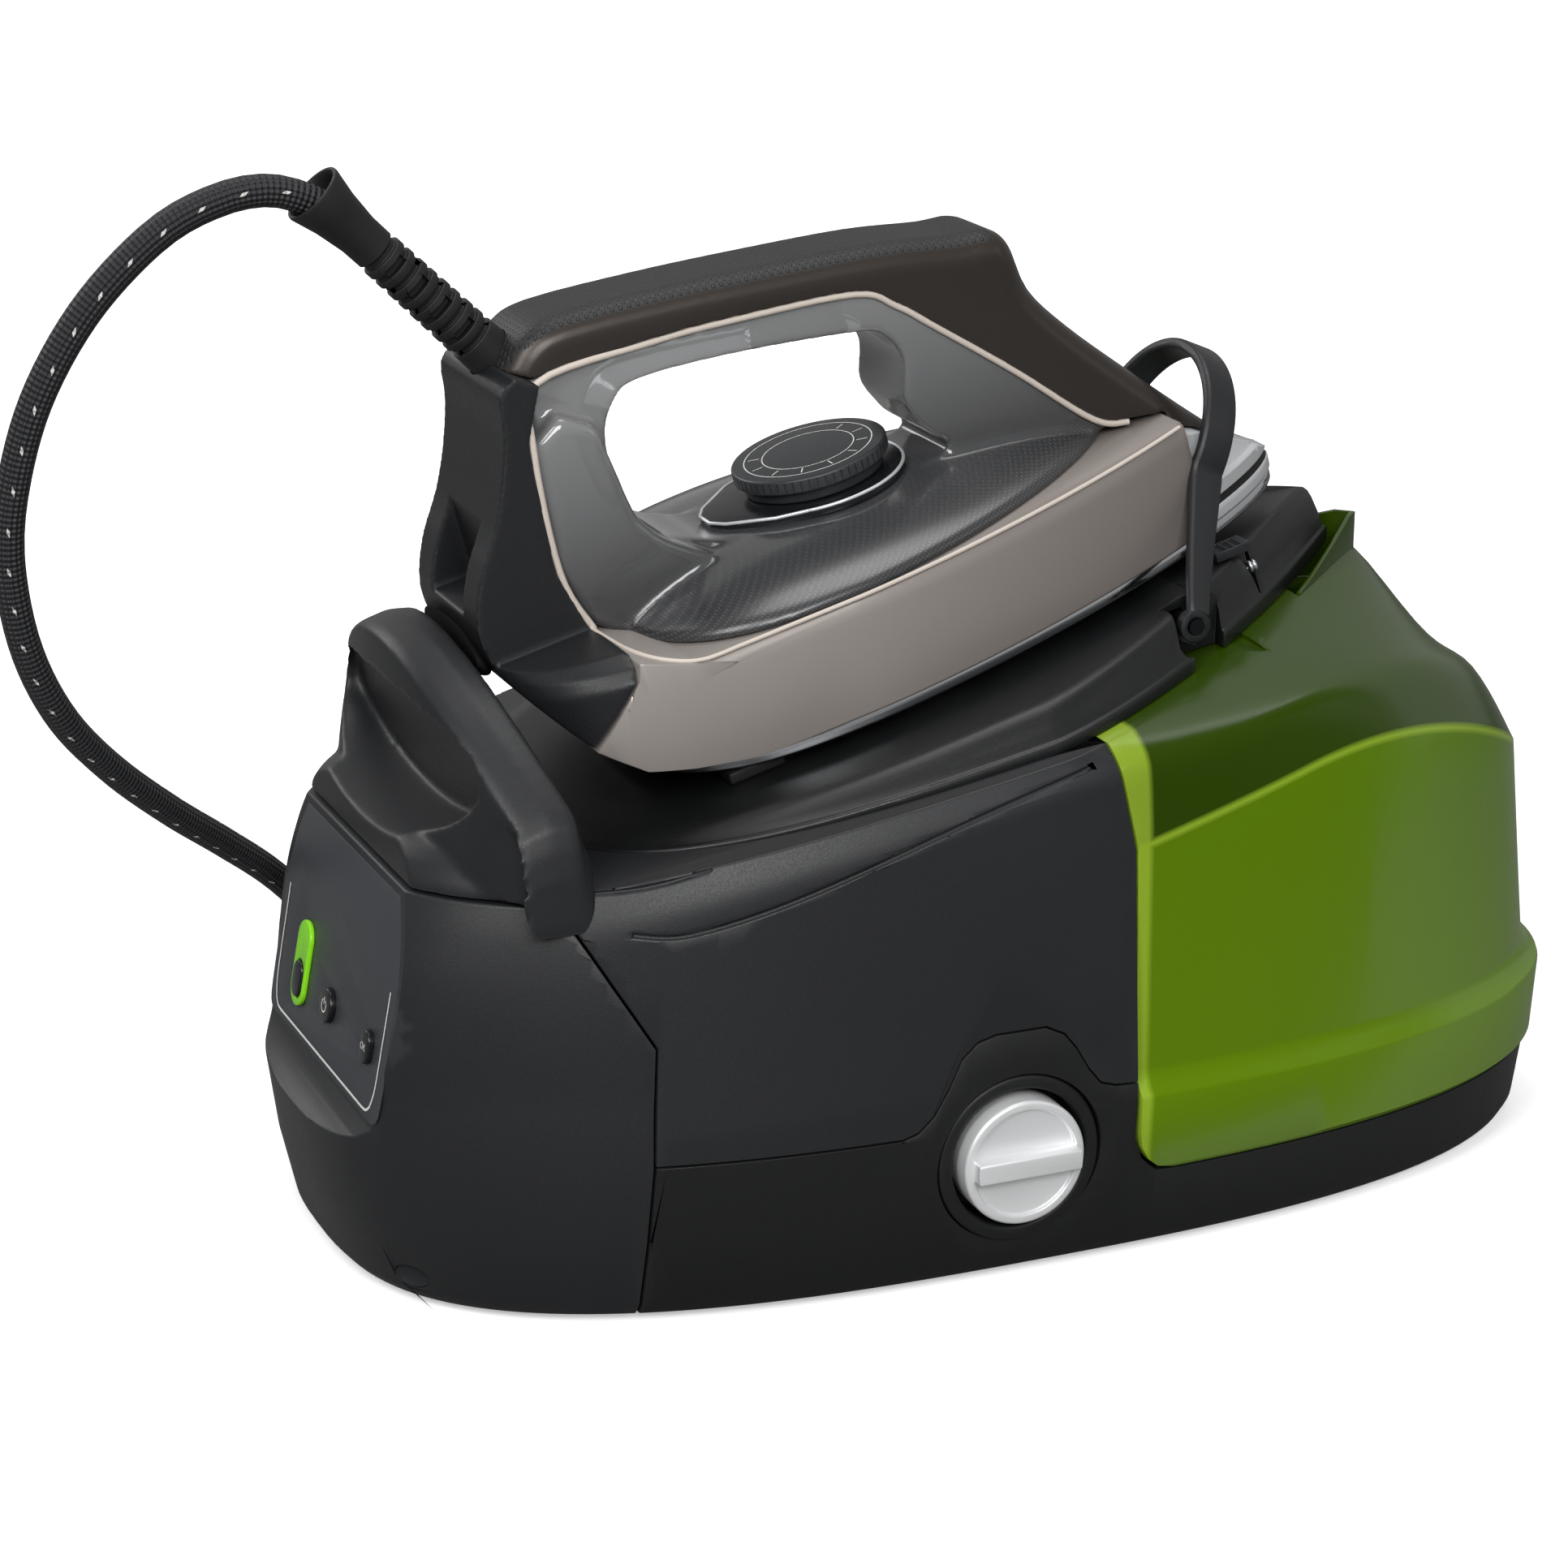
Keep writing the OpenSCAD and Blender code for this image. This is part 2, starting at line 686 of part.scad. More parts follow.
// Outlet valve in the tank's front wall: a flange and a spigot
module tank_valve() {
    color("#d9d9d6")
        difference() {
            union() {
                bar_x([tank_x - 11, dock_y, dock_z], spigot_r, 20);
                bar_x([tank_x + tank_wall + 0.3, dock_y, dock_z], spigot_r + 3, 3);
            }
            bar_x([tank_x - 12, dock_y, dock_z], spigot_r - 2.4, 30);
        }
}

// Socket in the bulkhead that takes the tank's spigot
module tank_dock() {
    color("#3a3c40")
        difference() {
            union() {
                bar_x([tank_x - 18, dock_y, dock_z], spigot_r + 4, 14.4);
                bar_x([tank_x - 6.6, dock_y, dock_z], spigot_r + 8, 3);
                bar_z([dock_x, dock_y, dock_z - spigot_r - 9], 4, 8);
            }
            bar_x([tank_x - 13, dock_y, dock_z], spigot_r + fit, 30);
            bar_z([dock_x, dock_y, dock_z - spigot_r - 10], 2.5, 16);
            bar_x([dock_x - 1, dock_y, dock_z], 2.5, 8);
        }
}

// ---------- base station, inside ----------

// Round steel boiler with a neck that takes the calc collector
module boiler() {
    color("#b9bcc0")
        difference() {
            union() {
                bar_z([boiler_x, boiler_y, boiler_z], boiler_r, boiler_h);
                bar_z([boiler_x, boiler_y, boiler_z + boiler_h], boiler_r - 6, 4);
                bar_y([knob_x, -base_half + 22, knob_z], rod_r + 4, 74);
            }
            bar_z([boiler_x, boiler_y, boiler_z + 2], boiler_r - 2, boiler_h - 4);
            bar_z([boiler_x, boiler_y, boiler_z + boiler_h - 3], boiler_r - 9, 5);
            bar_y([knob_x, -base_half, knob_z], rod_r + fit, 108);
            translate([knob_x, -70, knob_z]) rotate([90, 0, 0])
                rotate_extrude($fn = 48) translate([rod_r + 1.1, 0]) circle(r = 1.3, $fn = 16);
        }
}

// Insulated legs under the boiler
module boiler_stand() {
    color("#7d7f82")
        for (a = [30, 150, 270])
            translate([boiler_x + 36 * cos(a), boiler_y + 36 * sin(a), tray_floor])
                cylinder(r = 6, h = boiler_z - tray_floor, $fn = 32);
}

// Sheathed heating element, a ring brazed under the boiler
module heating_element() {
    color("#5d5f62")
        translate([boiler_x, boiler_y, boiler_z - 4])
            rotate_extrude($fn = 64) translate([22, 0]) circle(r = 4, $fn = 20);
}

// Hexagonal brass safety valve on the boiler's lid
module safety_valve() {
    color("#b08d3c")
        translate([boiler_x - 20, boiler_y + 18, boiler_z + boiler_h + 4]) {
            cylinder(r = 9, h = 9, $fn = 6);
            translate([0, 0, 9]) cylinder(r = 5, h = 10, $fn = 32);
        }
}

// Solenoid valve that lets the steam into the hose
module steam_valve() {
    color("#2f3236")
        translate([boiler_x + 4, boiler_y + 4, boiler_z + boiler_h + 4]) {
            cylinder(r = 8, h = 8, $fn = 40);
            translate([-12, -12, 8]) cube([24, 24, 22]);
            translate([0, 12, 14]) rotate([-90, 0, 0]) cylinder(r = 4, h = 8, $fn = 32);
        }
}

// Vibration pump with its coil
module pump() {
    color("#d5d2c8")
        union() {
            bar_x([pump_x - 12, pump_y, pump_z], pump_r - 6, 46);
            bar_x([pump_x - 6, pump_y, pump_z], pump_r, 22);
            bar_x([pump_x + 33, pump_y, pump_z], 3.5, 8);
        }
}

// Rubber cradles under both ends of the pump
module pump_mounts() {
    color("#151515")
        for (x = [pump_x - 11, pump_x + 20])
            difference() {
                translate([x, pump_y - 12, tray_floor]) cube([5, 24, pump_z - tray_floor]);
                bar_x([x - 1, pump_y, pump_z], pump_r - 6 + 0.1, 8);
            }
}

// Control board on four posts, with relays and a mains filter
module main_board() {
    board = [-118, 26, tray_floor + 8];
    color("#1d5a34")
        translate(board) cube([30, 56, 1.6]);
    color("#8a8d90")
        for (x = [4, 26]) for (y = [4, 52])
            translate([board[0] + x, board[1] + y, tray_floor]) cylinder(r = 2.5, h = 8, $fn = 24);
    color("#20242a") {
        translate(board + [3, 8, 1.6]) cube([14, 18, 14]);
        translate(board + [3, 32, 1.6]) cube([12, 14, 11]);
        translate(board + [20, 12, 1.6]) cube([7, 30, 6]);
    }
}

// Pipe from the tank's dock to the pump, under the boiler's neck
module water_pipe() {
    color("#cfd4d6")
        tube(smooth([[dock_x, dock_y, dock_z - spigot_r - 9.3], [dock_x, dock_y, 25],
            [2, dock_y - 1, 15.5], [-14, dock_y - 4, 12.5], [-34, dock_y - 9, 14.5],
            [-46, pump_y + 2, 20], [-51, pump_y, 27], [pump_x + 43, pump_y, pump_z],
            [pump_x + 41.6, pump_y, pump_z]], 3), 3.5);
}

// Pipe from the pump to the boiler's lid
module feed_pipe() {
    lid = boiler_z + boiler_h + 4;
    color("#cfd4d6")
        tube(smooth([[pump_x + 5, pump_y, pump_z + pump_r + 0.2], [pump_x + 6, -56, 60],
            [-86, -42, 80], [-76, -20, 96], [boiler_x - 27, boiler_y - 18, lid + 13],
            [boiler_x - 24, boiler_y - 14, lid + 8], [boiler_x - 24, boiler_y - 14, lid + 0.2]],
            4), 2.5, 8);
}

// Pipe from the solenoid valve to the hose gland
module steam_pipe() {
    lid = boiler_z + boiler_h + 4;
    color("#b9bcc0")
        tube(smooth([[boiler_x + 4, boiler_y + 24.3, lid + 14], [boiler_x + 2, boiler_y + 40, lid + 11],
            [boiler_x - 12, boiler_y + 56, lid - 8], [gland_x + 6, 80, 56],
            [gland_x, 75, 38], [gland_x, 78, gland_z + 1], [gland_x, 84.7, gland_z]], 4), 3.5);
}

// Gland through which the hose enters the base
module hose_gland() {
    color("#131313")
        difference() {
            union() {
                bar_y([gland_x, 85, gland_z], 8.6, 22);
                bar_y([gland_x, base_half - 1.2, gland_z], 11, 3);
                bar_y([gland_x, base_half + 1.5, gland_z], 8, 6.5);
            }
            bar_y([gland_x, base_half + 1, gland_z], hose_d / 2 + 0.05, 20);
        }
}

// Bushing for the mains lead
module power_inlet() {
    color("#131313")
        difference() {
            union() {
                bar_y([inlet_x, 85, inlet_z], 7.6, 20);
                bar_y([inlet_x, 103, inlet_z], 9.5, 3);
            }
            bar_y([inlet_x, 80, inlet_z], 3.6, 40);
        }
}

// Screws that hold the tray's floor to the shells
module case_screws() {
    color("#7f8387")
        for (x = [-100, 8]) for (y = [-80, 80])
            translate([x, y, shell_base - 1.6]) {
                cylinder(r = 3.6, h = 1.5, $fn = 32);
            }
}

// ---------- iron ----------

// Outline of the sole, larger all round by grow
function sole(grow) = outline(-50, sole_rear - 50 + grow, sole_nose + 50 + grow,
    sole_half + grow, 2.8, 1.6, 0.65);

module sole_block(grow, from, to) {
    translate([0, 0, from]) linear_extrude(to - from) polygon(sole(grow));
}

// A side view region in the iron's own frame
module profile(points, half) {
    translate([0, half, 0]) rotate([90, 0, 0]) linear_extrude(2 * half) polygon(points);
}

// Polished soleplate with rows of steam holes
module soleplate() {
    color("#c4c6c9")
        iron_frame()
            difference() {
                sole_block(0, 0, sole_t);
                for (side = [-1, 1]) for (i = [0 : 8])
                    translate([80 - 19 * i, side * (sole_half - 36 + 3.2 * min(i, 6)), -1])
                        cylinder(r = 1.8, h = sole_t + 2, $fn = 16);
            }
}

// Cast steam chamber with its heating element's hump
module steam_chamber() {
    color("#a9abad")
        iron_frame() {
            difference() {
                sole_block(-8, sole_t, 20);
                translate([-30, 0, 16]) cylinder(r = 13 + rest_gap, h = 10, $fn = 48);
                translate([90, -60, 0]) cube([60, 120, 60]);
            }
        }
}

shield_end = 78;
heel_front = -108;

// Painted heat shield round the chamber
module heat_shield() {
    color("#8b7d73")
        iron_frame()
            intersection() {
                difference() {
                    sole_block(2, sole_t + 0.1, shield_h);
                    sole_block(-0.5, 0, shield_h - 2);
                    translate([-66, -22, 0]) cube([92, 44, 60]);
                }
                translate([heel_front + 0.2, -100, 0])
                    cube([shield_end - heel_front - 0.4, 200, 100]);
            }
}

// Silver nose plate
module nose_plate() {
    color("#d8dadc")
        iron_frame()
            difference() {
                intersection() {
                    union() {
                        sole_block(0.6, sole_t + 0.1, 16);
                        sole_block(-2, 15, 40);
                    }
                    profile([[shield_end, 0], [shield_end, 35], [86, 32], [104, 20],
                        [121, 8], [121, 0]], 100);
                }
                intersection() {
                    sole_block(-4.4, 0, 40);
                    profile([[shield_end - 1, -1], [shield_end - 1, 32], [84, 29], [102, 17],
                        [117, 6], [117, -1]], 100);
                }
            }
}

// Opening of the handle, and the lines between its mouldings, seen from the side
grip_hole = [[-95, 90], [-94, 99], [-89, 107], [-80, 110.5], [-49, 107], [-11, 99.5],
    [-3, 95], [0.5, 86], [-2.5, 74], [2, 63], [4, 54], [-60, 54], [-76, 58], [-88, 65],
    [-93.5, 75]];
trim_line = [[-117, 48], [-122, 68], [-119, 107], [-111, 122], [-74, 120.5], [-49, 118],
    [-10, 112], [2, 104], [12, 94], [34, 71], [55, 47.5], [66, 42.6]];

// Smoked lower body of the handle: the deck under the dial and both columns
module handle_body() {
    color("#4b4d50", 0.9)
        iron_frame()
            difference() {
                union() {
                    deck(0);
                    intersection() {
                        profile(concat([[heel_front, shield_h]], trim_line), grip_half);
                        sole_block(-1, shield_h, 140);
                    }
                }
                deck(2.6);
                profile(grip_hole, 60);
                translate([-30, 0, 30]) cylinder(r = 3 + fit, h = 40, $fn = 48);
                trigger_slot();
                profile([[-104, 30], [-108, 100], [-101, 108], [-100, 62], [-60, 47],
                    [-60, 30]], 6);
            }
}

// Domed deck over the heat shield
module deck(inset) {
    low = shield_h - (inset > 0 ? 1 : 0);
    loft([for (r = [[low, 2.5, 0], [shield_h + 2, 2.2, 0], [shield_h + 8, -10, 4],
            [shield_h + 14, -26, 10]])
        [for (p = outline(-50, 55 + r[1] - inset, 112 + r[1] * 1.6 - inset,
                sole_half + r[1] - inset, 2.8, 1.6, 0.65))
            [p[0], p[1], r[0] - (inset > 0 && r[2] > 0 ? inset : 0)]]]);
}

module trigger_slot() {
    translate([-41, -6, 96]) cube([30, 12, 17]);
}

// Soft-grip cover over the top of the handle, down to the nose
module handle_cover() {
    top = [[-118, 127], [-110, 133.5], [-98, 135.5], [-64, 132], [-30, 127], [3, 121.5],
        [26, 115.5], [37, 114], [43, 108], [46, 92], [56, 76], [72, 56], [88, 37],
        [96, 28]];
    low = concat(shift([for (i = [3 : len(trim_line) - 1]) trim_line[i]], 0, 0.2),
        [[shield_end, shield_h + 0.4], [shield_end + 1, 35.2], [86, 32.5], [97, 25.4]]);
    color("#2a2624")
        difference() {
            iron_frame()
                difference() {
                    intersection() {
                        profile(concat(low, flip(top)), grip_half + 1.5);
                        union() {
                            sole_block(-1, shield_h - 20, 140);
                            translate([-130, -30, 100]) cube([40, 60, 60]);
                        }
                    }
                    trigger_slot();
                }
            boot_bore();
        }
}

// Pale trim along the joint between the cover and the smoked body
module handle_trim() {
    line = [for (i = [2 : 9]) trim_line[i]];
    color("#d9cfc6")
        iron_frame()
            for (side = [-1, 1])
                translate([0, side * (grip_half + 0.9) + 0.6, 0])
                    rotate([90, 0, 0])
                        linear_extrude(1.2)
                            polygon(concat(shift(line, 0, -0.1), flip(shift(line, 0.6, -2.2))));
}

// Rear cover: the heel the iron stands on, and the collar of the hose
module heel_cover() {
    side = [[heel_front, 6], [-124, 8], [-135, 22], [-141, 33], [-148, 46], [-150, 60],
        [-145, 74], [-137, 86], [-131, 98], [-126, 112], [-124, 123], [-118.6, 126.6],
        [-111.6, 121.8], [-119.4, 107], [-122.4, 68], [-117.4, 48],
        [heel_front - 0.2, shield_h]];
    color("#18191a")
        difference() {
            iron_frame()
                difference() {
                    intersection() {
                        profile(side, 62);
                        union() {
                            sole_block(30, 30, 42);
                            linear_extrude(30)
                                polygon(outline(-50, 100, 100, sole_half + 2.5, 3, 2, 0.5));
                            translate([-160, -27, 40]) cube([60, 54, 100]);
                        }
                    }
                    profile([[heel_front + 1, 0], [-119, 10], [-128, 24], [-131, 36],
                        [heel_front + 1, 36]], 46);
                    translate([-170, -14, 62]) cube([34, 28, 80]);
                    heel_pad_shape(0.15);
                }
            boot_bore();
        }
}

// Socket that takes the foot of the hose's strain relief
module boot_bore() {
    translate(boot_foot)
        rotate([0, -boot_lean, 0])
            translate([0, 0, -6]) cylinder(r = 7.75, h = 60, $fn = 48);
}

module heel_pad_shape(grow) {
    translate([-154, 0, 52])
        rotate([0, 62, 0])
            linear_extrude(8 + grow, center = true)
                scale([15 + grow, 24 + grow]) circle(r = 1, $fn = 48);
}

// Oval rubber pad on the heel
module heel_pad() {
    color("#111112")
        iron_frame()
            intersection() {
                heel_pad_shape(0);
                translate([-152, -40, 20]) cube([60, 80, 80]);
            }
}

// Gloss black seat of the dial with its bright outline
module dial_seat() {
    color("#0d0d0e")
        iron_frame()
            difference() {
                translate([-30, 0, 54]) cylinder(r = 28, h = 2.4, $fn = 72);
                translate([-30, 0, 50]) cylinder(r = 3 + fit, h = 20, $fn = 48);
                translate([-1, -40, 50]) cube([40, 80, 20]);
            }
}

// Temperature dial on its shaft
module temperature_dial() {
    color("#2c2e30")
        iron_frame()
            translate([-30, 0, 0]) {
                translate([0, 0, 56.6]) cylinder(r = dial_r - 2.5, h = 4, $fn = 72);
                translate([0, 0, 60.6]) cylinder(r = dial_r, h = dial_top - 60.6, $fn = 72);
                translate([0, 0, 38.2]) cylinder(r = 3, h = 18.4, $fn = 48);
            }
}

// Thermostat on the steam chamber
module thermostat() {
    color("#c9b27a")
        iron_frame()
            translate([-30, 0, 16]) {
                cylinder(r = 13, h = 10, $fn = 48);
                cylinder(r = 8, h = 22, $fn = 48);
            }
}

// Steam trigger under the front of the handle
module steam_trigger() {
    color("#1a1b1c")
        iron_frame()
            difference() {
                translate([0, 5.5, 0]) rotate([90, 0, 0]) linear_extrude(11)
                    polygon([[-39, 107], [-36, 102.6], [-20, 99], [-13, 98], [-12, 104],
                        [-14, 108], [-36, 109.5]]);
                translate([-16, -10, 104.6]) rotate([-90, 0, 0]) cylinder(r = 1.5 + fit, h = 20, $fn = 24);
            }
}

// Switch that the trigger presses, with the trigger's pin
module trigger_switch() {
    color("#8f9296")
        iron_frame() {
            translate([-16, -6, 104.6]) rotate([-90, 0, 0]) cylinder(r = 1.5, h = 12, $fn = 24);
        }
    color("#303236")
        iron_frame() translate([-39, -4, 111.6]) cube([14, 8, 1.4]);
}

// ---------- steam hose ----------

boot_foot = [iron_x - 145.8, 0, iron_z + 92.6];
boot_lean = 45.6;
boot_len = 72;

// Ribbed strain relief that opens into a bell
module hose_boot() {
    color("#151516")
        translate(boot_foot)
            rotate([0, -boot_lean, 0])
                rotate_extrude($fn = 48)
                    polygon([[0, -5.8], [7.6, -5.8], [7.4, 14], [6.4, 40], [6.6, 52],
                        [7.8, 62], [9.6, 71], [9.4, boot_len], [8.2, boot_len],
                        [7.6, 70], [6.2, 60], [5.2, 52], [4.9, 46], [0, 46]]);
}

// Route of the free hose, from the boot's bell out in a loop and back behind the base
hose_loop = [
    [-172, 0, 302], [-180, 0, 310], [-190, 0, 317], [-203, 0, 321], [-218, 0, 319],
    [-234, 1, 311], [-254, 3, 292], [-268, 6, 268], [-276, 10, 243], [-278, 14, 220]];
hose_fall = [
    [-277.9, 14.2, 218.9], [-274, 20, 192], [-262, 29, 163], [-244, 42, 138], [-222, 58, 116],
    [-200, 76, 96], [-180, 94, 76], [-160, 110, 55], [-138, 121, 35], [-112, 127, 18],
    [-84, 128, 9], [-60, 127, 5.1]];
module hose_upper() {
    color("#17181a") tube(smooth(hose_loop, 3), hose_d / 2, 10);
}
module hose_lower() {
    color("#17181a") tube(smooth(hose_fall, 3), hose_d / 2, 10);
}

coil_x = -13;
coil_y = 184;

// Short end of the hose, from the coil up to its gland
module hose_tail() {
    color("#17181a")
        tube(smooth([[gland_x, base_half + 1.3, gland_z], [gland_x, base_half + 9.5, gland_z],
            [gland_x, base_half + 12, gland_z - 0.3],
            [gland_x, base_half + 22, gland_z - 6.5], [gland_x, base_half + 32, 14],
            [gland_x, base_half + 42.5, 7]], 3),
            hose_d / 2, 10);
}

// Stored turns of the hose, lying flat
module hose_coil() {
    color("#17181a")
        translate([coil_x, coil_y, 0])
            rotate_extrude($fn = 64)
                translate([coil_r - hose_d, 1.2]) square([2 * hose_d, 2 * hose_d - 1]);
}

// Tie round the stored turns
module hose_tie() {
    color("#0e0e0e")
        translate([coil_x + coil_r, coil_y, hose_d + 0.7])
            difference() {
                cube([2 * hose_d + 3, 8, 2 * hose_d + 1.2], center = true);
                cube([2 * hose_d + 0.8, 9, 2 * hose_d - 0.7], center = true);
            }
}

base_tray();
front_housing();
main_housing();
carry_handle();
iron_rest();
rest_pads();
feet();
control_panel();
eco_bezel();
eco_button();
power_button();
ok_button();
panel_board();
calc_knob();
calc_collector();
calc_seal();
knob_collar();
lock_hoop();
hoop_pins();
hoop_latch();
latch_spring();
water_tank();
tank_valve();
tank_dock();
boiler();
boiler_stand();
heating_element();
safety_valve();
steam_valve();
pump();
pump_mounts();
water_pipe();
feed_pipe();
steam_pipe();
main_board();
hose_gland();
power_inlet();
case_screws();
soleplate();
steam_chamber();
heat_shield();
handle_body();
handle_cover();
handle_trim();
heel_cover();
heel_pad();
nose_plate();
dial_seat();
temperature_dial();
thermostat();
steam_trigger();
trigger_switch();
hose_boot();
hose_upper();
hose_lower();
hose_tail();
hose_coil();
hose_tie();
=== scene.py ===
import bpy
import math
from mathutils import Matrix, Vector


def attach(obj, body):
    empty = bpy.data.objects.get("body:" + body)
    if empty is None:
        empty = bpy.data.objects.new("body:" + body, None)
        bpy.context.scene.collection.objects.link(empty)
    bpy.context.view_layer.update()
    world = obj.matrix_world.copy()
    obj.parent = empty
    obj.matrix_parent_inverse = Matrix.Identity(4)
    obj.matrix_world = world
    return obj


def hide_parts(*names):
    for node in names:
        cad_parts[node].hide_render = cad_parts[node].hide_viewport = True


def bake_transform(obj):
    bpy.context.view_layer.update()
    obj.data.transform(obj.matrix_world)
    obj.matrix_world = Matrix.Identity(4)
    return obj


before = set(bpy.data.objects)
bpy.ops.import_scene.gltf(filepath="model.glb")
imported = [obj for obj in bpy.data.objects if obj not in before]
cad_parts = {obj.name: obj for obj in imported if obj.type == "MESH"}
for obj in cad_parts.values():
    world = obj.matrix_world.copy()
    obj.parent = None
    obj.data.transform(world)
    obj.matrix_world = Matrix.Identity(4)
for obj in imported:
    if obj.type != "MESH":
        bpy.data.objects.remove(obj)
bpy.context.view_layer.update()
bpy.ops.object.select_all(action="DESELECT")

# ---------------------------------------------------------------------------
# Camera: a long lens a little above the object, looking at the panel end and the
# near side together.
scene = bpy.context.scene
scene.view_settings.view_transform = "Standard"
camera_data = bpy.data.cameras.new("camera")
camera_data.lens = 93.17
camera_data.sensor_width = 36
camera_data.clip_end = 20
camera = bpy.data.objects.new("camera", camera_data)
scene.collection.objects.link(camera)
camera.location = (-0.5094, -1.08805, 0.5252)
camera.rotation_euler = (math.radians(90 - 18.62), 0, math.radians(-23.03))
scene.camera = camera


# Colours are written as sRGB hex values and turned to linear here.
def colour(code):
    channels = [int(code[i : i + 2], 16) / 255 for i in (1, 3, 5)]
    return [
        c / 12.92 if c <= 0.04045 else ((c + 0.055) / 1.055) ** 2.4 for c in channels
    ] + [1.0]


# Adds one node with its settings; an input is a value or another node's socket.
def node(tree, kind, inputs=None, **settings):
    made = tree.nodes.new(kind)
    for key, value in settings.items():
        setattr(made, key, value)
    for key, value in (inputs or {}).items():
        if isinstance(value, bpy.types.NodeSocket):
            tree.links.new(value, made.inputs[key])
        else:
            made.inputs[key].default_value = value
    return made


# Floor and studio: a pale sweep that is white to the camera and keeps the soft shadow,
# a wide lamp above and to the left, one from the right, and one behind for the edges.
bpy.ops.mesh.primitive_plane_add(size=12, location=(0, 2, 0))
floor = bpy.context.object
floor.name = "studio_floor"
paper = bpy.data.materials.new("matt studio paper")
paper.use_nodes = True
tree = paper.node_tree
tree.nodes.clear()
seen_floor = node(tree, "ShaderNodeLightPath")
tint = node(tree, "ShaderNodeMix", {0: seen_floor.outputs["Is Camera Ray"],
    6: colour("#8f8f8f"), 7: colour("#fbfbfb")}, data_type="RGBA")
sheet = node(tree, "ShaderNodeBsdfDiffuse", {"Color": tint.outputs[2]})
where = node(tree, "ShaderNodeTexCoord")
away = node(tree, "ShaderNodeVectorMath", {0: where.outputs["Object"],
    1: (0, -2, 0)}, operation="DISTANCE")
wide = node(tree, "ShaderNodeMapRange", {0: away.outputs["Value"], 1: 0.35, 2: 1.3, 3: 0.42,
    4: 0.95})
shown = node(tree, "ShaderNodeMath", {0: wide.outputs[0],
    1: seen_floor.outputs["Is Camera Ray"]}, operation="MULTIPLY")
glow = node(tree, "ShaderNodeEmission", {"Color": (1, 1, 1, 1),
    "Strength": shown.outputs[0]})
both = node(tree, "ShaderNodeAddShader", {0: sheet.outputs[0], 1: glow.outputs[0]})
node(tree, "ShaderNodeOutputMaterial", {"Surface": both.outputs[0]})
floor.data.materials.append(paper)

world = bpy.data.worlds.new("studio")
scene.world = world
world.use_nodes = True
tree = world.node_tree
tree.nodes.clear()
rays = node(tree, "ShaderNodeLightPath")
seen = node(tree, "ShaderNodeMath", {0: rays.outputs["Is Camera Ray"],
    1: rays.outputs["Is Transmission Ray"]}, operation="MAXIMUM")
mirrored = node(tree, "ShaderNodeMath", {0: rays.outputs["Is Glossy Ray"], 1: 0.4},
    operation="MULTIPLY")
either = node(tree, "ShaderNodeMath", {0: seen.outputs[0], 1: mirrored.outputs[0]},
    operation="MAXIMUM")
strength = node(tree, "ShaderNodeMath", {0: either.outputs[0], 1: 0.12},
    operation="MAXIMUM")
sky = node(tree, "ShaderNodeBackground", {"Color": (1, 1, 1, 1),
    "Strength": strength.outputs[0]})
node(tree, "ShaderNodeOutputWorld", {"Surface": sky.outputs[0]})


def lamp(name, place, aim, size, power):
    data = bpy.data.lights.new(name, "AREA")
    data.shape = "RECTANGLE"
    data.size, data.size_y = size
    data.energy = power
    made = bpy.data.objects.new(name, data)
    scene.collection.objects.link(made)
    made.location = place
    toward = Vector(aim) - Vector(place)
    made.rotation_euler = toward.to_track_quat("-Z", "Y").to_euler()


lamp("key_softbox", (-1.5, -1.1, 1.5), (0, 0, 0.12), (0.8, 1.2), 24)
lamp("top_softbox", (0.2, 0.2, 2.0), (0, 0, 0.1), (1.3, 1.0), 15)
lamp("fill_softbox", (1.7, -1.3, 1.1), (0, 0, 0.1), (0.6, 1.0), 1.5)
lamp("front_softbox", (-0.5, -2.3, 1.5), (0, 0, 0.1), (1.3, 0.9), 44)
lamp("rim_softbox", (-0.9, 1.6, 1.2), (0, 0, 0.15), (0.9, 0.9), 9)

# ---------------------------------------------------------------------------
# Steam hose: silicone tube in a black polyester braid with white tracer flecks. It
# leaves the gland at the back, lies in stored turns on the floor, comes up round the
# panel end and loops over into the strain relief of the iron.
MM = Matrix.Scale(0.001, 4)
HOSE = 9.5
COIL = (-13.0, 184.0)


def catmull(p0, p1, p2, p3, t):
    return tuple(
        0.5 * (2 * b + (c - a) * t + (2 * a - 5 * b + 4 * c - d) * t * t
            + (3 * b - a - 3 * c + d) * t**3)
        for a, b, c, d in zip(p0, p1, p2, p3)
    )


# Points of a smooth curve through the given ones.
def smooth_line(points, steps):
    last = len(points) - 1
    line = []
    for i in range(last):
        around = [points[max(i - 1, 0)], points[i], points[i + 1], points[min(i + 2, last)]]
        line += [catmull(*around, s / steps) for s in range(steps)]
    return line + [tuple(points[last])]


# The same curve with its points an equal step apart.
def even_line(points, step):
    fine = smooth_line(points, 12)
    kept, gone = [fine[0]], 0.0
    for a, b in zip(fine, fine[1:]):
        gone += math.dist(a, b)
        if gone >= step:
            kept.append(b)
            gone = 0.0
    return kept + [fine[-1]]


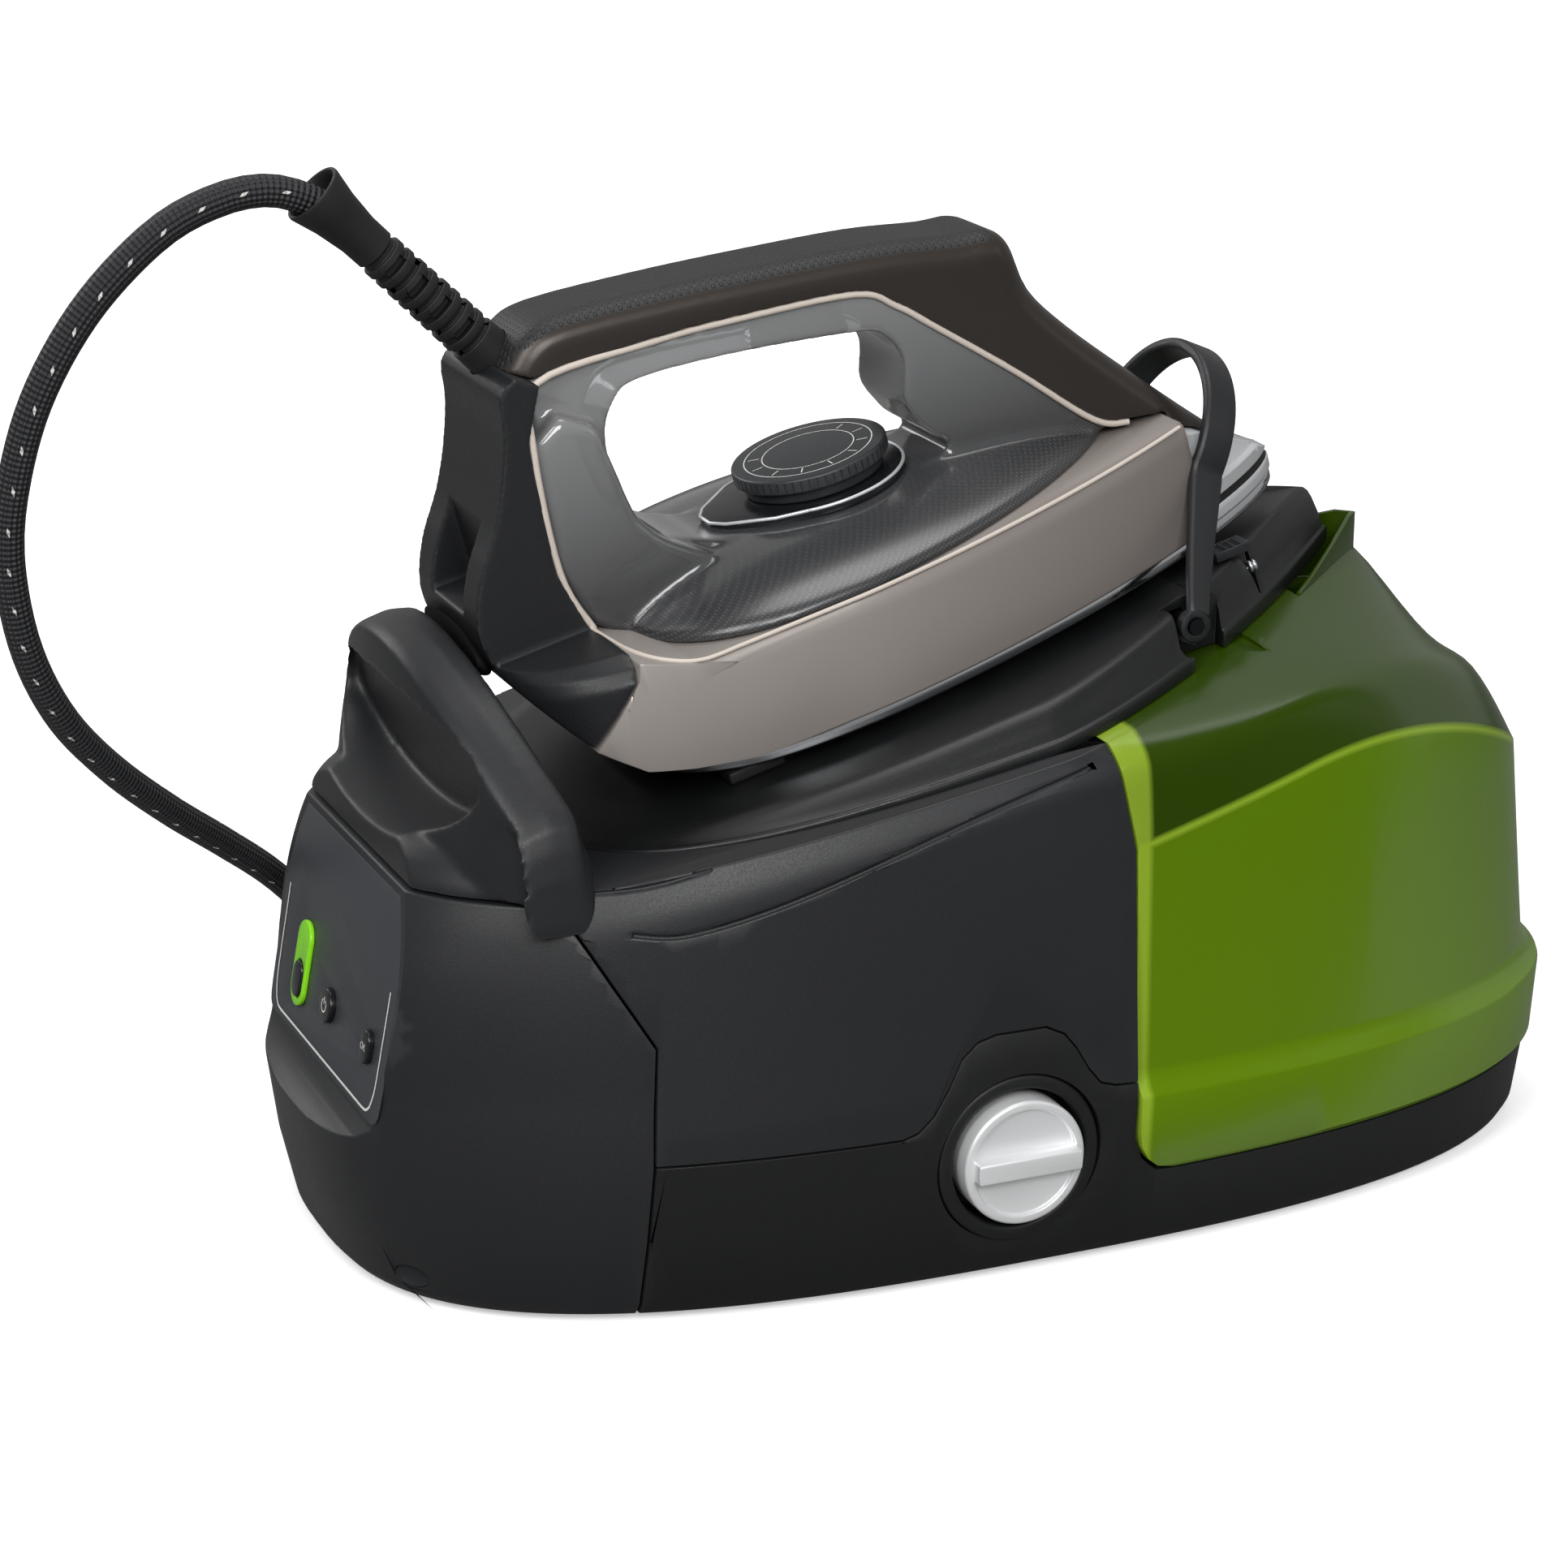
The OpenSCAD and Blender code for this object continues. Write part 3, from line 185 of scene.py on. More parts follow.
# A closed skin through rings of points; pattern lengths go to the UV map in metres.
def lofted(name, rings, uv=False):
    around = len(rings[0])
    points = [p for ring in rings for p in ring]
    faces = []
    for i in range(len(rings) - 1):
        for j in range(around):
            a, b = i * around + j, i * around + (j + 1) % around
            faces.append((a, b, b + around, a + around))
    faces.append(tuple(range(around))[::-1])
    faces.append(tuple((len(rings) - 1) * around + j for j in range(around)))
    mesh = bpy.data.meshes.new(name)
    mesh.from_pydata(points, [], faces)
    mesh.update()
    made = bpy.data.objects.new(name, mesh)
    scene.collection.objects.link(made)
    if uv:
        layer = mesh.uv_layers.new(name="length")
        run, lengths = 0.0, [0.0]
        middles = [Vector([sum(c) / around for c in zip(*ring)]) for ring in rings]
        for a, b in zip(middles, middles[1:]):
            run += (b - a).length / 1000
            lengths.append(run)
        for face in mesh.polygons[: (len(rings) - 1) * around]:
            i, j = divmod(face.index, around)
            for loop, (u, v) in zip(face.loop_indices,
                    ((j, i), (j + 1, i), (j + 1, i + 1), (j, i + 1))):
                layer.data[loop].uv = (u / around, lengths[v])
    return made


# Rings of a tube along a line; radius is a number or a function of the share of the way.
def tube_rings(line, radius, sides):
    points = [Vector(p) for p in line]
    last = len(points) - 1
    rings, normal = [], None
    for i, p in enumerate(points):
        ahead = (points[min(i + 1, last)] - points[max(i - 1, 0)]).normalized()
        if normal is None:
            normal = ahead.cross(Vector((0, 0, 1) if abs(ahead.z) < 0.9 else (1, 0, 0)))
        normal = (normal - normal.dot(ahead) * ahead).normalized()
        side = ahead.cross(normal)
        r = radius(i / last) if callable(radius) else radius
        rings.append([tuple(p + r * (math.cos(a) * normal + math.sin(a) * side))
            for a in (2 * math.pi * j / sides for j in range(sides))])
    return rings


def pick(*objects):
    bpy.ops.object.select_all(action="DESELECT")
    for o in objects:
        o.select_set(True)
    bpy.context.view_layer.objects.active = objects[0]


def apply_modifier(obj, kind, **settings):
    pick(obj)
    made = obj.modifiers.new(kind, kind)
    for key, value in settings.items():
        setattr(made, key, value)
    bpy.ops.object.modifier_apply(modifier=made.name)


def outward(obj):
    pick(obj)
    bpy.ops.object.mode_set(mode="EDIT")
    bpy.ops.mesh.select_all(action="SELECT")
    bpy.ops.mesh.normals_make_consistent(inside=False)
    bpy.ops.object.mode_set(mode="OBJECT")


# Puts a piece in its place, gives it its finish and hands it to its body.
def place(obj, matrix, material, body, nodes, slot, angle=32):
    obj.data.transform(matrix)
    outward(obj)
    bpy.ops.object.shade_smooth_by_angle(angle=math.radians(angle))
    obj.data.materials.clear()
    obj.data.materials.append(material)
    obj.name = obj.data.name = obj.name.split(".")[0] + "_part"
    if body:
        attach(obj, body)
    if nodes:
        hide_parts(*nodes)
    return obj


# A material around one principled shader, with object coordinates at hand.
def finish_of(name, code, roughness, metallic=0.0, **sockets):
    made = bpy.data.materials.new(name)
    made.use_nodes = True
    tree = made.node_tree
    shader = tree.nodes["Principled BSDF"]
    shader.inputs["Base Color"].default_value = colour(code)
    shader.inputs["Roughness"].default_value = roughness
    shader.inputs["Metallic"].default_value = metallic
    for key, value in sockets.items():
        shader.inputs[key.replace("_", " ")].default_value = value
    return made, tree, shader


# The stored turns: two that wind inwards on the floor, then one on top of them.
coil_turns = []
for k in range(67):
    turn = k / 24
    angle = math.pi - 2 * math.pi * turn
    rise = min(max((turn - 1.5) / 0.35, 0), 1)
    rise = rise * rise * (3 - 2 * rise)
    out = min(max((turn - 1.8) / 0.35, 0), 1)
    out = out * out * (3 - 2 * out)
    reach = 61.75 - 9.6 * min(turn, 1.8)
    reach += out * (57.2 - reach)
    coil_turns.append((COIL[0] + reach * math.cos(angle), COIL[1] + reach * math.sin(angle),
        HOSE / 2 + 0.05 + 9.3 * rise))
hose_points = [(-70, 109, 30), (-70, 115, 30), (-70, 121, 29.2), (-70.2, 130, 23.6),
    (-70.8, 140, 15), (-72, 151, 8), (-73.8, 165, 5)] + coil_turns + [
    (-40, 127.2, 14), (-58, 127.4, 13.4), (-84, 128, 13), (-112, 127, 21), (-138, 121, 38),
    (-162, 110, 61), (-184, 93, 86), (-204, 76, 105), (-225, 58, 124), (-246, 42, 145),
    (-263, 29, 167), (-274, 20, 192), (-278.5, 14, 220), (-276.5, 10, 243),
    (-269, 6, 268), (-254.5, 3, 292), (-235, 1, 311), (-218, 0, 319.5), (-203, 0, 321.5),
    (-190.5, 0, 317.5), (-180.5, 0, 310), (-172.5, 0, 302)]
hose_line = even_line(hose_points, 4.2)
hose = lofted("steam_hose", tube_rings(hose_line, HOSE / 2, 14), uv=True)

# Polyester braid: two sets of 1.2 mm strands that cross, black, satin, with a white
# tracer strand that shows as short flecks.
braid, tree, shader = finish_of("braided polyester", "#15161a", 0.62)
uv = node(tree, "ShaderNodeUVMap", uv_map="length")
parts = node(tree, "ShaderNodeSeparateXYZ", {0: uv.outputs[0]})
turns = node(tree, "ShaderNodeMath", {0: parts.outputs[0], 1: 9.0}, operation="MULTIPLY")
run = node(tree, "ShaderNodeMath", {0: parts.outputs[1], 1: 300.0}, operation="MULTIPLY")
waves = []
for kind in ("ADD", "SUBTRACT"):
    mixed = node(tree, "ShaderNodeMath", {0: turns.outputs[0], 1: run.outputs[0]},
        operation=kind)
    angle = node(tree, "ShaderNodeMath", {0: mixed.outputs[0], 1: 2 * math.pi},
        operation="MULTIPLY")
    wave = node(tree, "ShaderNodeMath", {0: angle.outputs[0]}, operation="SINE")
    waves.append(wave.outputs[0])
weave = node(tree, "ShaderNodeMath", {0: waves[0], 1: waves[1]}, operation="MULTIPLY")
cells = node(tree, "ShaderNodeCombineXYZ", {0: turns.outputs[0], 1: run.outputs[0]})
fleck_u = node(tree, "ShaderNodeMath", {0: parts.outputs[0], 1: 3.0}, operation="MULTIPLY")
fleck_v = node(tree, "ShaderNodeMath", {0: parts.outputs[1], 1: 82.0}, operation="MULTIPLY")
slant = node(tree, "ShaderNodeMath", {0: fleck_v.outputs[0], 1: fleck_u.outputs[0]},
    operation="ADD")
wrap_u = node(tree, "ShaderNodeMath", {0: fleck_u.outputs[0]}, operation="FRACT")
wrap_v = node(tree, "ShaderNodeMath", {0: slant.outputs[0]}, operation="FRACT")
in_u = node(tree, "ShaderNodeMath", {0: wrap_u.outputs[0], 1: 0.1}, operation="LESS_THAN")
in_v = node(tree, "ShaderNodeMath", {0: wrap_v.outputs[0], 1: 0.14}, operation="LESS_THAN")
fleck = node(tree, "ShaderNodeMath", {0: in_u.outputs[0], 1: in_v.outputs[0]},
    operation="MULTIPLY")
strands = node(tree, "ShaderNodeMapRange", {0: weave.outputs[0], 1: -1.0, 2: 1.0})
dark = node(tree, "ShaderNodeMix", {0: strands.outputs[0], 6: colour("#0b0b0d"),
    7: colour("#26272c")}, data_type="RGBA")
light = node(tree, "ShaderNodeMix", {0: fleck.outputs[0], 6: dark.outputs[2],
    7: colour("#c9c9c6")}, data_type="RGBA")
tree.links.new(light.outputs[2], shader.inputs["Base Color"])
bump = node(tree, "ShaderNodeBump", {"Strength": 0.8, "Distance": 0.0006,
    "Height": weave.outputs[0]})
tree.links.new(bump.outputs[0], shader.inputs["Normal"])
place(hose, MM, braid, None, ["hose_upper", "hose_lower", "hose_tail", "hose_coil"],
    "braided_hose", 60)
# Moulded plastic of the housings: black ABS, spark-eroded to a satin grain of about 0.6 mm,
# with a painted highlight: the colour is a little lighter on sharp outer edges.
def moulded(name, code, roughness, grain=0.6, depth=0.00006, edge_highlight=0.35, **sockets):
    made, tree, shader = finish_of(name, code, roughness, **sockets)
    shader.inputs["Specular IOR Level"].default_value = 0.36
    where = node(tree, "ShaderNodeTexCoord")
    fine = node(tree, "ShaderNodeTexNoise", {"Vector": where.outputs["Object"],
        "Scale": 1000 / grain, "Detail": 3.0, "Roughness": 0.6})
    broad = node(tree, "ShaderNodeTexNoise", {"Vector": where.outputs["Object"],
        "Scale": 14.0, "Detail": 4.0})
    curve = node(tree, "ShaderNodeNewGeometry")
    # Painted highlight: sharp outer edges, found by their pointiness, are coloured lighter.
    edge_highlight_mask = node(tree, "ShaderNodeMapRange", {0: curve.outputs["Pointiness"],
        1: 0.52, 2: 0.6, 3: 0.0, 4: edge_highlight})
    base = colour(code)
    pale = [min(c * 1.4 + 0.002, 1) for c in base[:3]] + [1]
    edge_highlight_colour = [min(c * 2.6 + 0.02, 1) for c in base[:3]] + [1]
    cloudy = node(tree, "ShaderNodeMapRange", {0: broad.outputs[0], 1: 0.35, 2: 0.75,
        3: 0.0, 4: 0.35})
    tone = node(tree, "ShaderNodeMix", {0: cloudy.outputs[0], 6: base, 7: pale},
        data_type="RGBA")
    with_edge_highlight = node(tree, "ShaderNodeMix", {0: edge_highlight_mask.outputs[0], 6: tone.outputs[2],
        7: edge_highlight_colour}, data_type="RGBA")
    tree.links.new(with_edge_highlight.outputs[2], shader.inputs["Base Color"])
    rough = node(tree, "ShaderNodeMapRange", {0: fine.outputs[0], 1: 0.3, 2: 0.7,
        3: roughness - 0.05, 4: roughness + 0.07})
    tree.links.new(rough.outputs[0], shader.inputs["Roughness"])
    bump = node(tree, "ShaderNodeBump", {"Strength": 0.5, "Distance": depth,
        "Height": fine.outputs[0]})
    tree.links.new(bump.outputs[0], shader.inputs["Normal"])
    return made


# Tie of the stored turns: a strap of black elastomer round all three.
rubber = moulded("black elastomer", "#0f0f10", 0.6, grain=1.2, depth=0.0001)
tie_x = COIL[0] + 54
strap = []
for j in range(40):
    t = 2 * math.pi * j / 40
    wide = abs(math.cos(t)) ** 0.6 * math.copysign(14.4, math.cos(t))
    tall = abs(math.sin(t)) ** 0.7 * math.copysign(9.9, math.sin(t))
    strap.append([(tie_x + wide * k, COIL[1] + y, 10.1 + tall * k)
        for k, y in ((1, -4), (1.06, -3.4), (1.06, 3.4), (1, 4))])
points = [p for ring in strap for p in ring]
faces = [(4 * j + k, 4 * j + (k + 1) % 4, 4 * ((j + 1) % 40) + (k + 1) % 4,
    4 * ((j + 1) % 40) + k) for j in range(40) for k in range(4)]
strap_mesh = bpy.data.meshes.new("hose_tie")
strap_mesh.from_pydata(points, [], faces)
tie = bpy.data.objects.new("hose_tie", strap_mesh)
scene.collection.objects.link(tie)
place(tie, MM, rubber, "base", ["hose_tie"], "rubber")
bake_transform(hose)


# ---------------------------------------------------------------------------
# Shells of the base station: injection-moulded black ABS, three shells screwed together
# along fine joint lines. The outline of the station is one skin cut by its joints.
SEAM_X, TRAY, KNOB_X, KNOB_Z, TANK_X, TANK_Z = -128, 52, -17, 40, 22, 28


def outline(rear, front, half, n, a, b, xc=0.0, count=40):
    turn = [math.pi / 2 * k / count for k in range(count)]
    cos, sin = (lambda t: max(math.cos(t), 0)), (lambda t: max(math.sin(t), 0))
    return (
        [(xc + front * cos(t) ** (2 / a), half * sin(t) ** (2 * b)) for t in turn]
        + [(xc - rear * sin(t) ** (2 / n), half * cos(t) ** (2 / n)) for t in turn]
        + [(xc - rear * cos(t) ** (2 / n), -half * sin(t) ** (2 / n)) for t in turn]
        + [(xc + front * sin(t) ** (2 / a), -half * cos(t) ** (2 * b)) for t in turn]
    )


# Rings of the skin: height, slope, droop, reach behind, reach ahead, half width, and
# the powers of the outline; the fourth one from the top is a crease.
UPPER = [(125, 0.27, 0.0044, 206.6, 197, 104.2, 2.8, 2.5, 0.4),
    (143, 0.235, 0.0039, 200.6, 184, 102.6, 2.8, 2.2, 0.45),
    (151, 0.21, 0.0036, 195, 171, 101.5, 2.8, 1.8, 0.6),
    (158, 0.188, 0, 188, 146, 98, 2.8, 1.4, 1)]
LOWER = [(3, 0, 0, 197, 201, 101.5, 2.8, 2.6, 0.385),
    (7, 0, 0, 200.4, 203.4, 103.4, 2.8, 2.6, 0.385),
    (28, 0, 0, 205, 205.8, 106.4, 2.8, 2.6, 0.385),
    (51.6, 0, 0, 208, 207, 108.2, 2.8, 2.6, 0.385)]
TANK_LOWER = [(28, 0, 0, 100, 205.5, 106.5, 2.8, 2.6, 0.385),
    (30, 0, 0, 100, 207.6, 108, 2.8, 2.6, 0.385),
    (52.6, 0, 0, 100, 208.8, 109.4, 2.8, 2.6, 0.385),
    (53.8, 0, 0, 100, 208.4, 109, 2.8, 2.6, 0.385),
    (55.4, 0, 0, 100, 206, 107.2, 2.8, 2.6, 0.385),
    (59.6, 0, 0, 100, 203, 105.2, 2.8, 2.6, 0.385),
    (61, 0, 0, 100, 202.8, 105.2, 2.8, 2.6, 0.385)]


def skin(name, lower, inset=0.0, drop=0.0, upper=UPPER):
    wall = []
    for a, b in zip(lower, (lower + upper[:1])[1:]):
        wall += [tuple(p + (q - p) * s / 4 for p, q in zip(a, b)) for s in range(4)]
    rings = wall + smooth_line(upper, 6)
    low, high = rings[0][0], rings[-1][0]
    shape = []
    for z, slope, droop, rear, front, half, n, a, b in rings:
        sink = drop if z > high - 0.01 else (-1.0 if z < low + 0.01 and inset else 0.0)
        ring = outline(rear - inset, front - inset, half - inset, n, a, b)
        shape.append([(x, y, z + slope * x - droop * max(0, x - 80) ** 2 - sink)
            for x, y in ring])
    return lofted(name, shape)


# A block as seen from the side, reaching as far as half on both sides.
def prism(points, half=200.0, shift=(0.0, 0.0)):
    return lofted("tool", [[(x + shift[0], y, z + shift[1]) for x, z in points]
        for y in (-half, half)])


def block(low, high):
    return lofted("tool", [[(low[0], low[1], z), (high[0], low[1], z),
        (high[0], high[1], z), (low[0], high[1], z)] for z in (low[2], high[2])])


def boolean(obj, tool, operation="DIFFERENCE"):
    outward(tool)
    outward(obj)
    apply_modifier(obj, "BOOLEAN", object=tool, operation=operation, solver="EXACT")
    bpy.data.objects.remove(tool)
    return obj


# A bar with a round section from a point along an axis.
def bar(start, radius, length, axis="Y", sides=72):
    bpy.ops.mesh.primitive_cylinder_add(vertices=sides, radius=radius, depth=length)
    made = bpy.context.object
    turn = {"X": Matrix.Rotation(math.pi / 2, 4, "Y"), "Z": Matrix.Identity(4),
        "Y": Matrix.Rotation(-math.pi / 2, 4, "X")}[axis]
    made.data.transform(Matrix.Translation(start) @ turn
        @ Matrix.Translation((0, 0, length / 2)))
    return made


def soften(obj, width=0.5, segments=2, angle=38):
    pick(obj)
    bpy.ops.object.mode_set(mode="EDIT")
    bpy.ops.mesh.select_all(action="SELECT")
    bpy.ops.mesh.remove_doubles(threshold=0.02)
    bpy.ops.mesh.dissolve_limited(angle_limit=math.radians(0.2))
    bpy.ops.object.mode_set(mode="OBJECT")
    apply_modifier(obj, "BEVEL", width=width, segments=segments, limit_method="ANGLE",
        angle_limit=math.radians(angle), use_clamp_overlap=False)
    return obj


SEAM = [(-132, -20), (-128, 52), (-126, 87), (-136, 104), (-144, 118), (-152, 132),
    (-152, 300)]
SWOOSH = [(-55, 52), (-50, 53.5), (-45, 58), (-40, 66), (-36, 74), (-31, 78.4), (-25, 80),
    (-9, 80), (-3, 77), (1, 72), (5, 65), (9, 60), (14, 58.4), (21.4, 58)]
# Shells and tray are the same black ABS; the shells' colour is lighter than the tray's,
# painted light for the flanks that the light from above reaches.
LIT_HOUSING = "#1b1c1e"
lit_shell_black = moulded("black ABS, satin grain", LIT_HOUSING, 0.42)
tray_black = moulded("black ABS, fine grain", "#0d0e0f", 0.5)

# Tray: floor, lower walls and the platform of the tank.
tray = skin("base_tray", LOWER)
boolean(tray, prism([(-131.7, -20), (-127.7, 51.8)] + [(x, z - 0.25) for x, z in SWOOSH]
    + [(21.4, 40), (24, 32.6), (29, 28), (35, 27.5), (400, 27.5), (400, -20)]), "INTERSECT")
hollow = skin("tool", LOWER, 2.5, 1)
boolean(hollow, prism([(-156, 6), (-156, 200), (18.6, 200), (18.6, 34), (30, 24.6),
    (400, 24.6), (400, 6)]), "INTERSECT")
boolean(tray, hollow)
boolean(tray, bar((KNOB_X, -300, KNOB_Z), 26.5, 240))
boolean(tray, bar((2, -45, 49), 7, 30, "X"))
boolean(tray, bar((-70, 60, 30), 9, 80))
boolean(tray, bar((-104, 60, 26), 8, 80))
soften(tray, 0.5)
place(tray, MM, tray_black, "base", ["base_tray"], "black_plastic")

# Panel end: a deep shell down to the floor. The sloping cut of the panel leaves a lip.
PANEL_END = [(67, 0, 0, 206.4, 150, 106.2, 2.8, 2.5, 0.4),
    (88, 0, 0, 206, 150, 105, 2.8, 2.5, 0.4), (104, 0, 0, 203.6, 150, 103.4, 2.8, 2.2, 0.45),
    (118, 0, 0, 198.6, 150, 101.2, 2.8, 1.8, 0.6),
    (128, 0, 0, 194, 150, 98.5, 2.8, 1.4, 1)]
front = skin("front_housing", LOWER, upper=PANEL_END)
boolean(front, prism([(-400, -20)] + [(x - 0.3, z) for x, z in SEAM[:-1]]
    + [(-152.3, 300), (-400, 300)]), "INTERSECT")
boolean(front, block((-400, -300, -10), (0, 300, 127.8)), "INTERSECT")
hollow = skin("tool", LOWER, 3.5, 2.5, PANEL_END)
boolean(hollow, prism([(-190, -5), (-180.5, 120), (-180.5, 126), (-60, 126), (-60, -5)]),
    "INTERSECT")
boolean(front, hollow)
boolean(front, prism([(-240, 41), (-215, 46), (-207, 49.5), (-201, 53.5), (-197.7, 57.4),
    (-184.1, 130), (-240, 130)]))
slot = bar((0, 0, -2), 3.6, 16, "Z", 32)
slot.data.transform(Matrix.Translation((-190, -57, 11))
    @ Matrix.Rotation(math.radians(225), 4, "Z") @ Matrix.Rotation(math.radians(90), 4, "Y")
    @ Matrix.Diagonal((1, 1.7, 1, 1)) @ Matrix.Translation((0, 0, -2)))
boolean(front, slot)
soften(front, 0.6)
place(front, MM, lit_shell_black, "base", ["front_housing"], "black_plastic")

# Middle shell with the bulkhead towards the tank and the flange under the rest.
middle = skin("main_housing", LOWER)
boolean(middle, prism([(x + 0.3, z + 0.3) for x, z in SEAM[1:-1]] + [(-151.7, 300),
    (14.4, 300), (14.4, 161), (20.4, 130), (21.4, 60)]
    + [(x, z + 0.25) for x, z in SWOOSH[::-1]]), "INTERSECT")
hollow = skin("tool", LOWER, 2.5, 2.5)
boolean(hollow, prism([(-188, 0), (-188, 300), (11.6, 300), (11.6, 161), (17.6, 130),
    (18.6, 60), (18.6, 0)]), "INTERSECT")
boolean(middle, hollow)


def rest_outline(inset):
    return outline(138 - inset, 142 - inset, 91.5 - inset, 3, 1.4, 0.95)


boolean(middle, lofted("tool", [[(x, y, z) for x, y in rest_outline(8)] for z in (0, 300)]))
boolean(middle, bar((2, -45, 49), 7, 30, "X"))
boolean(middle, block((-300, -300, 125), (-150, 300, 300)))


# Grooves and creases that run along both flanks, laid on the skin by a ray from outside.
def groove(obj, line, radius):
    for side in (-1, 1):
        path = []
        for x, z in smooth_line(line, 6):
            hit, spot = obj.ray_cast(Vector((x, side * 200, z)), Vector((0, -side, 0)))[:2]
            if hit:
                path.append((x, spot.y + side * 0.15, z))
        boolean(obj, lofted("tool", tube_rings(path, radius, 10)))


groove(middle, [(-149, 130.6), (-126, 133), (-102, 139), (-54, 152), (-17, 158.4),
    (9, 162.5)], 0.7)
groove(middle, [(-131, 120.5), (-119, 119.5), (-103, 122.5), (-80, 129), (-31, 145), (8, 156)],
    0.8)
soften(middle, 0.45)
place(middle, MM, lit_shell_black, "base", ["main_housing"], "black_plastic")

# ---------------------------------------------------------------------------
# Iron rest: a boat-shaped cover in heat-proof black plastic with three stepped rims, and
# the two wells of the lock hoop. Three soft pads carry the sole.
TILT = math.radians(15.4)
IRON = MM @ Matrix.Translation((7, 0, 177)) @ Matrix.Rotation(-TILT, 4, "Y")
RIMS = [(0, 0), (0.2, 0.2), (0.25, 0.6), (0.27, 1.6), (0.3, 2.2), (0.55, 4), (0.8, 6.4),
    (0.92, 8), (0.98, 9.6), (1.0, 12)]
rest = lofted("iron_rest", [
    [(x, y, 158 + 0.188 * x + share * (12.9 + 0.0874 * x - (0.055 * max(0, x - 96)) ** 2 * 1.0)
        - (0.2 if share == 0 else 0))
        for x, y in rest_outline(inset)] for share, inset in RIMS])
boolean(rest, block((-400, -200, 0), (-138, 200, 400)))
for side in (-1, 1):
    boolean(rest, block((54, side * 58 - 7.5, 168), (74, side * 58 + 7.5, 260)))
boolean(rest, lofted("tool", [[(x, y, z if z < 100 else 167.4 + 0.2754 * x)
    for x, y in rest_outline(14)] for z in (60, 178)]))
latch_cut = block((76.7, -38.3, -20), (87.7, -32.7, 10))
latch_cut.data.transform(Matrix.Translation((7, 0, 177)) @ Matrix.Rotation(-TILT, 4, "Y"))
boolean(rest, latch_cut)
soften(rest, 0.4)
rest_black = moulded("black heat-proof plastic", "#101112", 0.36, grain=0.5)
place(rest, MM, rest_black, "base", ["iron_rest"], "black_plastic", 40)

pads = []
for x, y in ((-88, 38), (-88, -38), (66, 0)):
    pad = block((x - 9, y - 14, -4), (x + 9, y + 14, -0.2))
    pads.append(soften(pad, 0.8, 3))
pick(*pads)
bpy.ops.object.join()
pads[0].name = "rest_pads"
place(pads[0], IRON, rubber, "base", ["rest_pads"], "rubber")

# ---------------------------------------------------------------------------
# Carry handle: a hollow arch over the panel end with a broad flat top, and a scoop for
# the fingers under it.

# Makes one skin of joined shapes, with soft edges.
def melt(obj, voxel, rounds):
    outward(obj)
    obj.data.remesh_voxel_size = voxel
    pick(obj)
    bpy.ops.object.voxel_remesh()
    apply_modifier(obj, "SMOOTH", factor=0.5, iterations=rounds)
    return obj


spread = [-83.5, -82.5, -81, -79] + [-76 + 152 * i / 40 for i in range(41)]
spread += [79, 81, 82.5, 83.5]
sink = {79: 4, 81: 10, 82.5: 18, 83.5: 30}
arch = []
for y in spread:
    u = min(abs(y) / 76, 1)
    lean, top = 15 * u * u, 192 - 38 * u * u - sink.get(abs(y), 0)
    foot_x = -182.6 + 24 * u**3
    low = 129 - sink.get(abs(y), 0) / 3
    mid = max(141 - sink.get(abs(y), 0), low + 0.6)
    crown = max(top, mid + 3)
    section = [(foot_x, low), (-152.6 + 12 * u**4, low), (-150.4 + 12 * u**4, mid),
        (-154.6 + 12 * u**4 * 0.7 + lean / 3, (crown + mid) / 2), (-158 + lean, crown),
        (-159.2 + lean, crown + 1.4), (-166 + lean, crown + 1.6),
        (-173.4 + lean, crown - 0.8), (-175.2 + lean, crown - 2),
        (-176 + lean, crown - 2.6), (max(foot_x + 1, -177.4 + lean), (crown + mid) / 2),
        (max(foot_x + 0.4, -179.6 + lean), mid)]
    arch.append([(x, y, z) for x, z in section])
carry = lofted("carry_handle", arch)
rim_base = lofted("tool", [[(x, y, z) for x, y in outline(rear, 100, half, 2.8, 1.4, 1)]
    for z, rear, half in ((128.4, 193.6, 98.3), (132, 192.4, 97.6), (136, 189.6, 95.8),
        (139, 186, 93), (141, 181.5, 89), (142, 176, 84))])
boolean(rim_base, prism([(-184.4, 120), (-182, 141), (-181, 150), (-152.6, 150),
    (-152.6, 120)]), "INTERSECT")
boolean(carry, rim_base, "UNION")
bpy.ops.mesh.primitive_cylinder_add(vertices=96, radius=1, depth=100)
scoop = bpy.context.object
scoop.data.transform(Matrix.Translation((-162.5, 0, 160.6))
    @ Matrix.Rotation(math.radians(-101), 4, "Y") @ Matrix.Diagonal((20.4, 62, 1, 1))
    @ Matrix.Translation((0, 0, 50)))
boolean(carry, scoop)
melt(carry, 1.15, 9)
place(carry, MM, lit_shell_black, "base", ["carry_handle"], "black_plastic", 50)

# Rubber feet, pressed into the tray.
feet = []
for x in (-120, 130):
    for y in (-66, 66):
        feet.append(soften(bar((x, y, 0), 10, 3, "Z"), 0.6, 3))
pick(*feet)
bpy.ops.object.join()
feet[0].name = "feet"
place(feet[0], MM, rubber, "base", ["feet"], "rubber")

# ---------------------------------------------------------------------------
# Control panel: a dark grey plate, 1.5 mm thick, that leans back in the sloping cut. A
# white line is printed round the keys; the green surround stands a little proud.
PANEL_LEAN = math.radians(10.77)


# Local axes on the panel: x to the reader's right, y up its face, z out of it.
def on_panel(y, z):
    foot = (-197.5 + 0.1901 * (z - 57), y, z)
    s, c = math.sin(PANEL_LEAN), math.cos(PANEL_LEAN)
    return MM @ Matrix.Translation(foot) @ Matrix(
        ((0, s, -c, 0), (-1, 0, 0, 0), (0, c, s, 0), (0, 0, 0, 1)))


# A flat-topped shape: its outline, pushed out to a height, from a depth.
def slab(name, points, low, high):
    return lofted(name, [[(x, y, z) for x, y in points] for z in (low, high)])


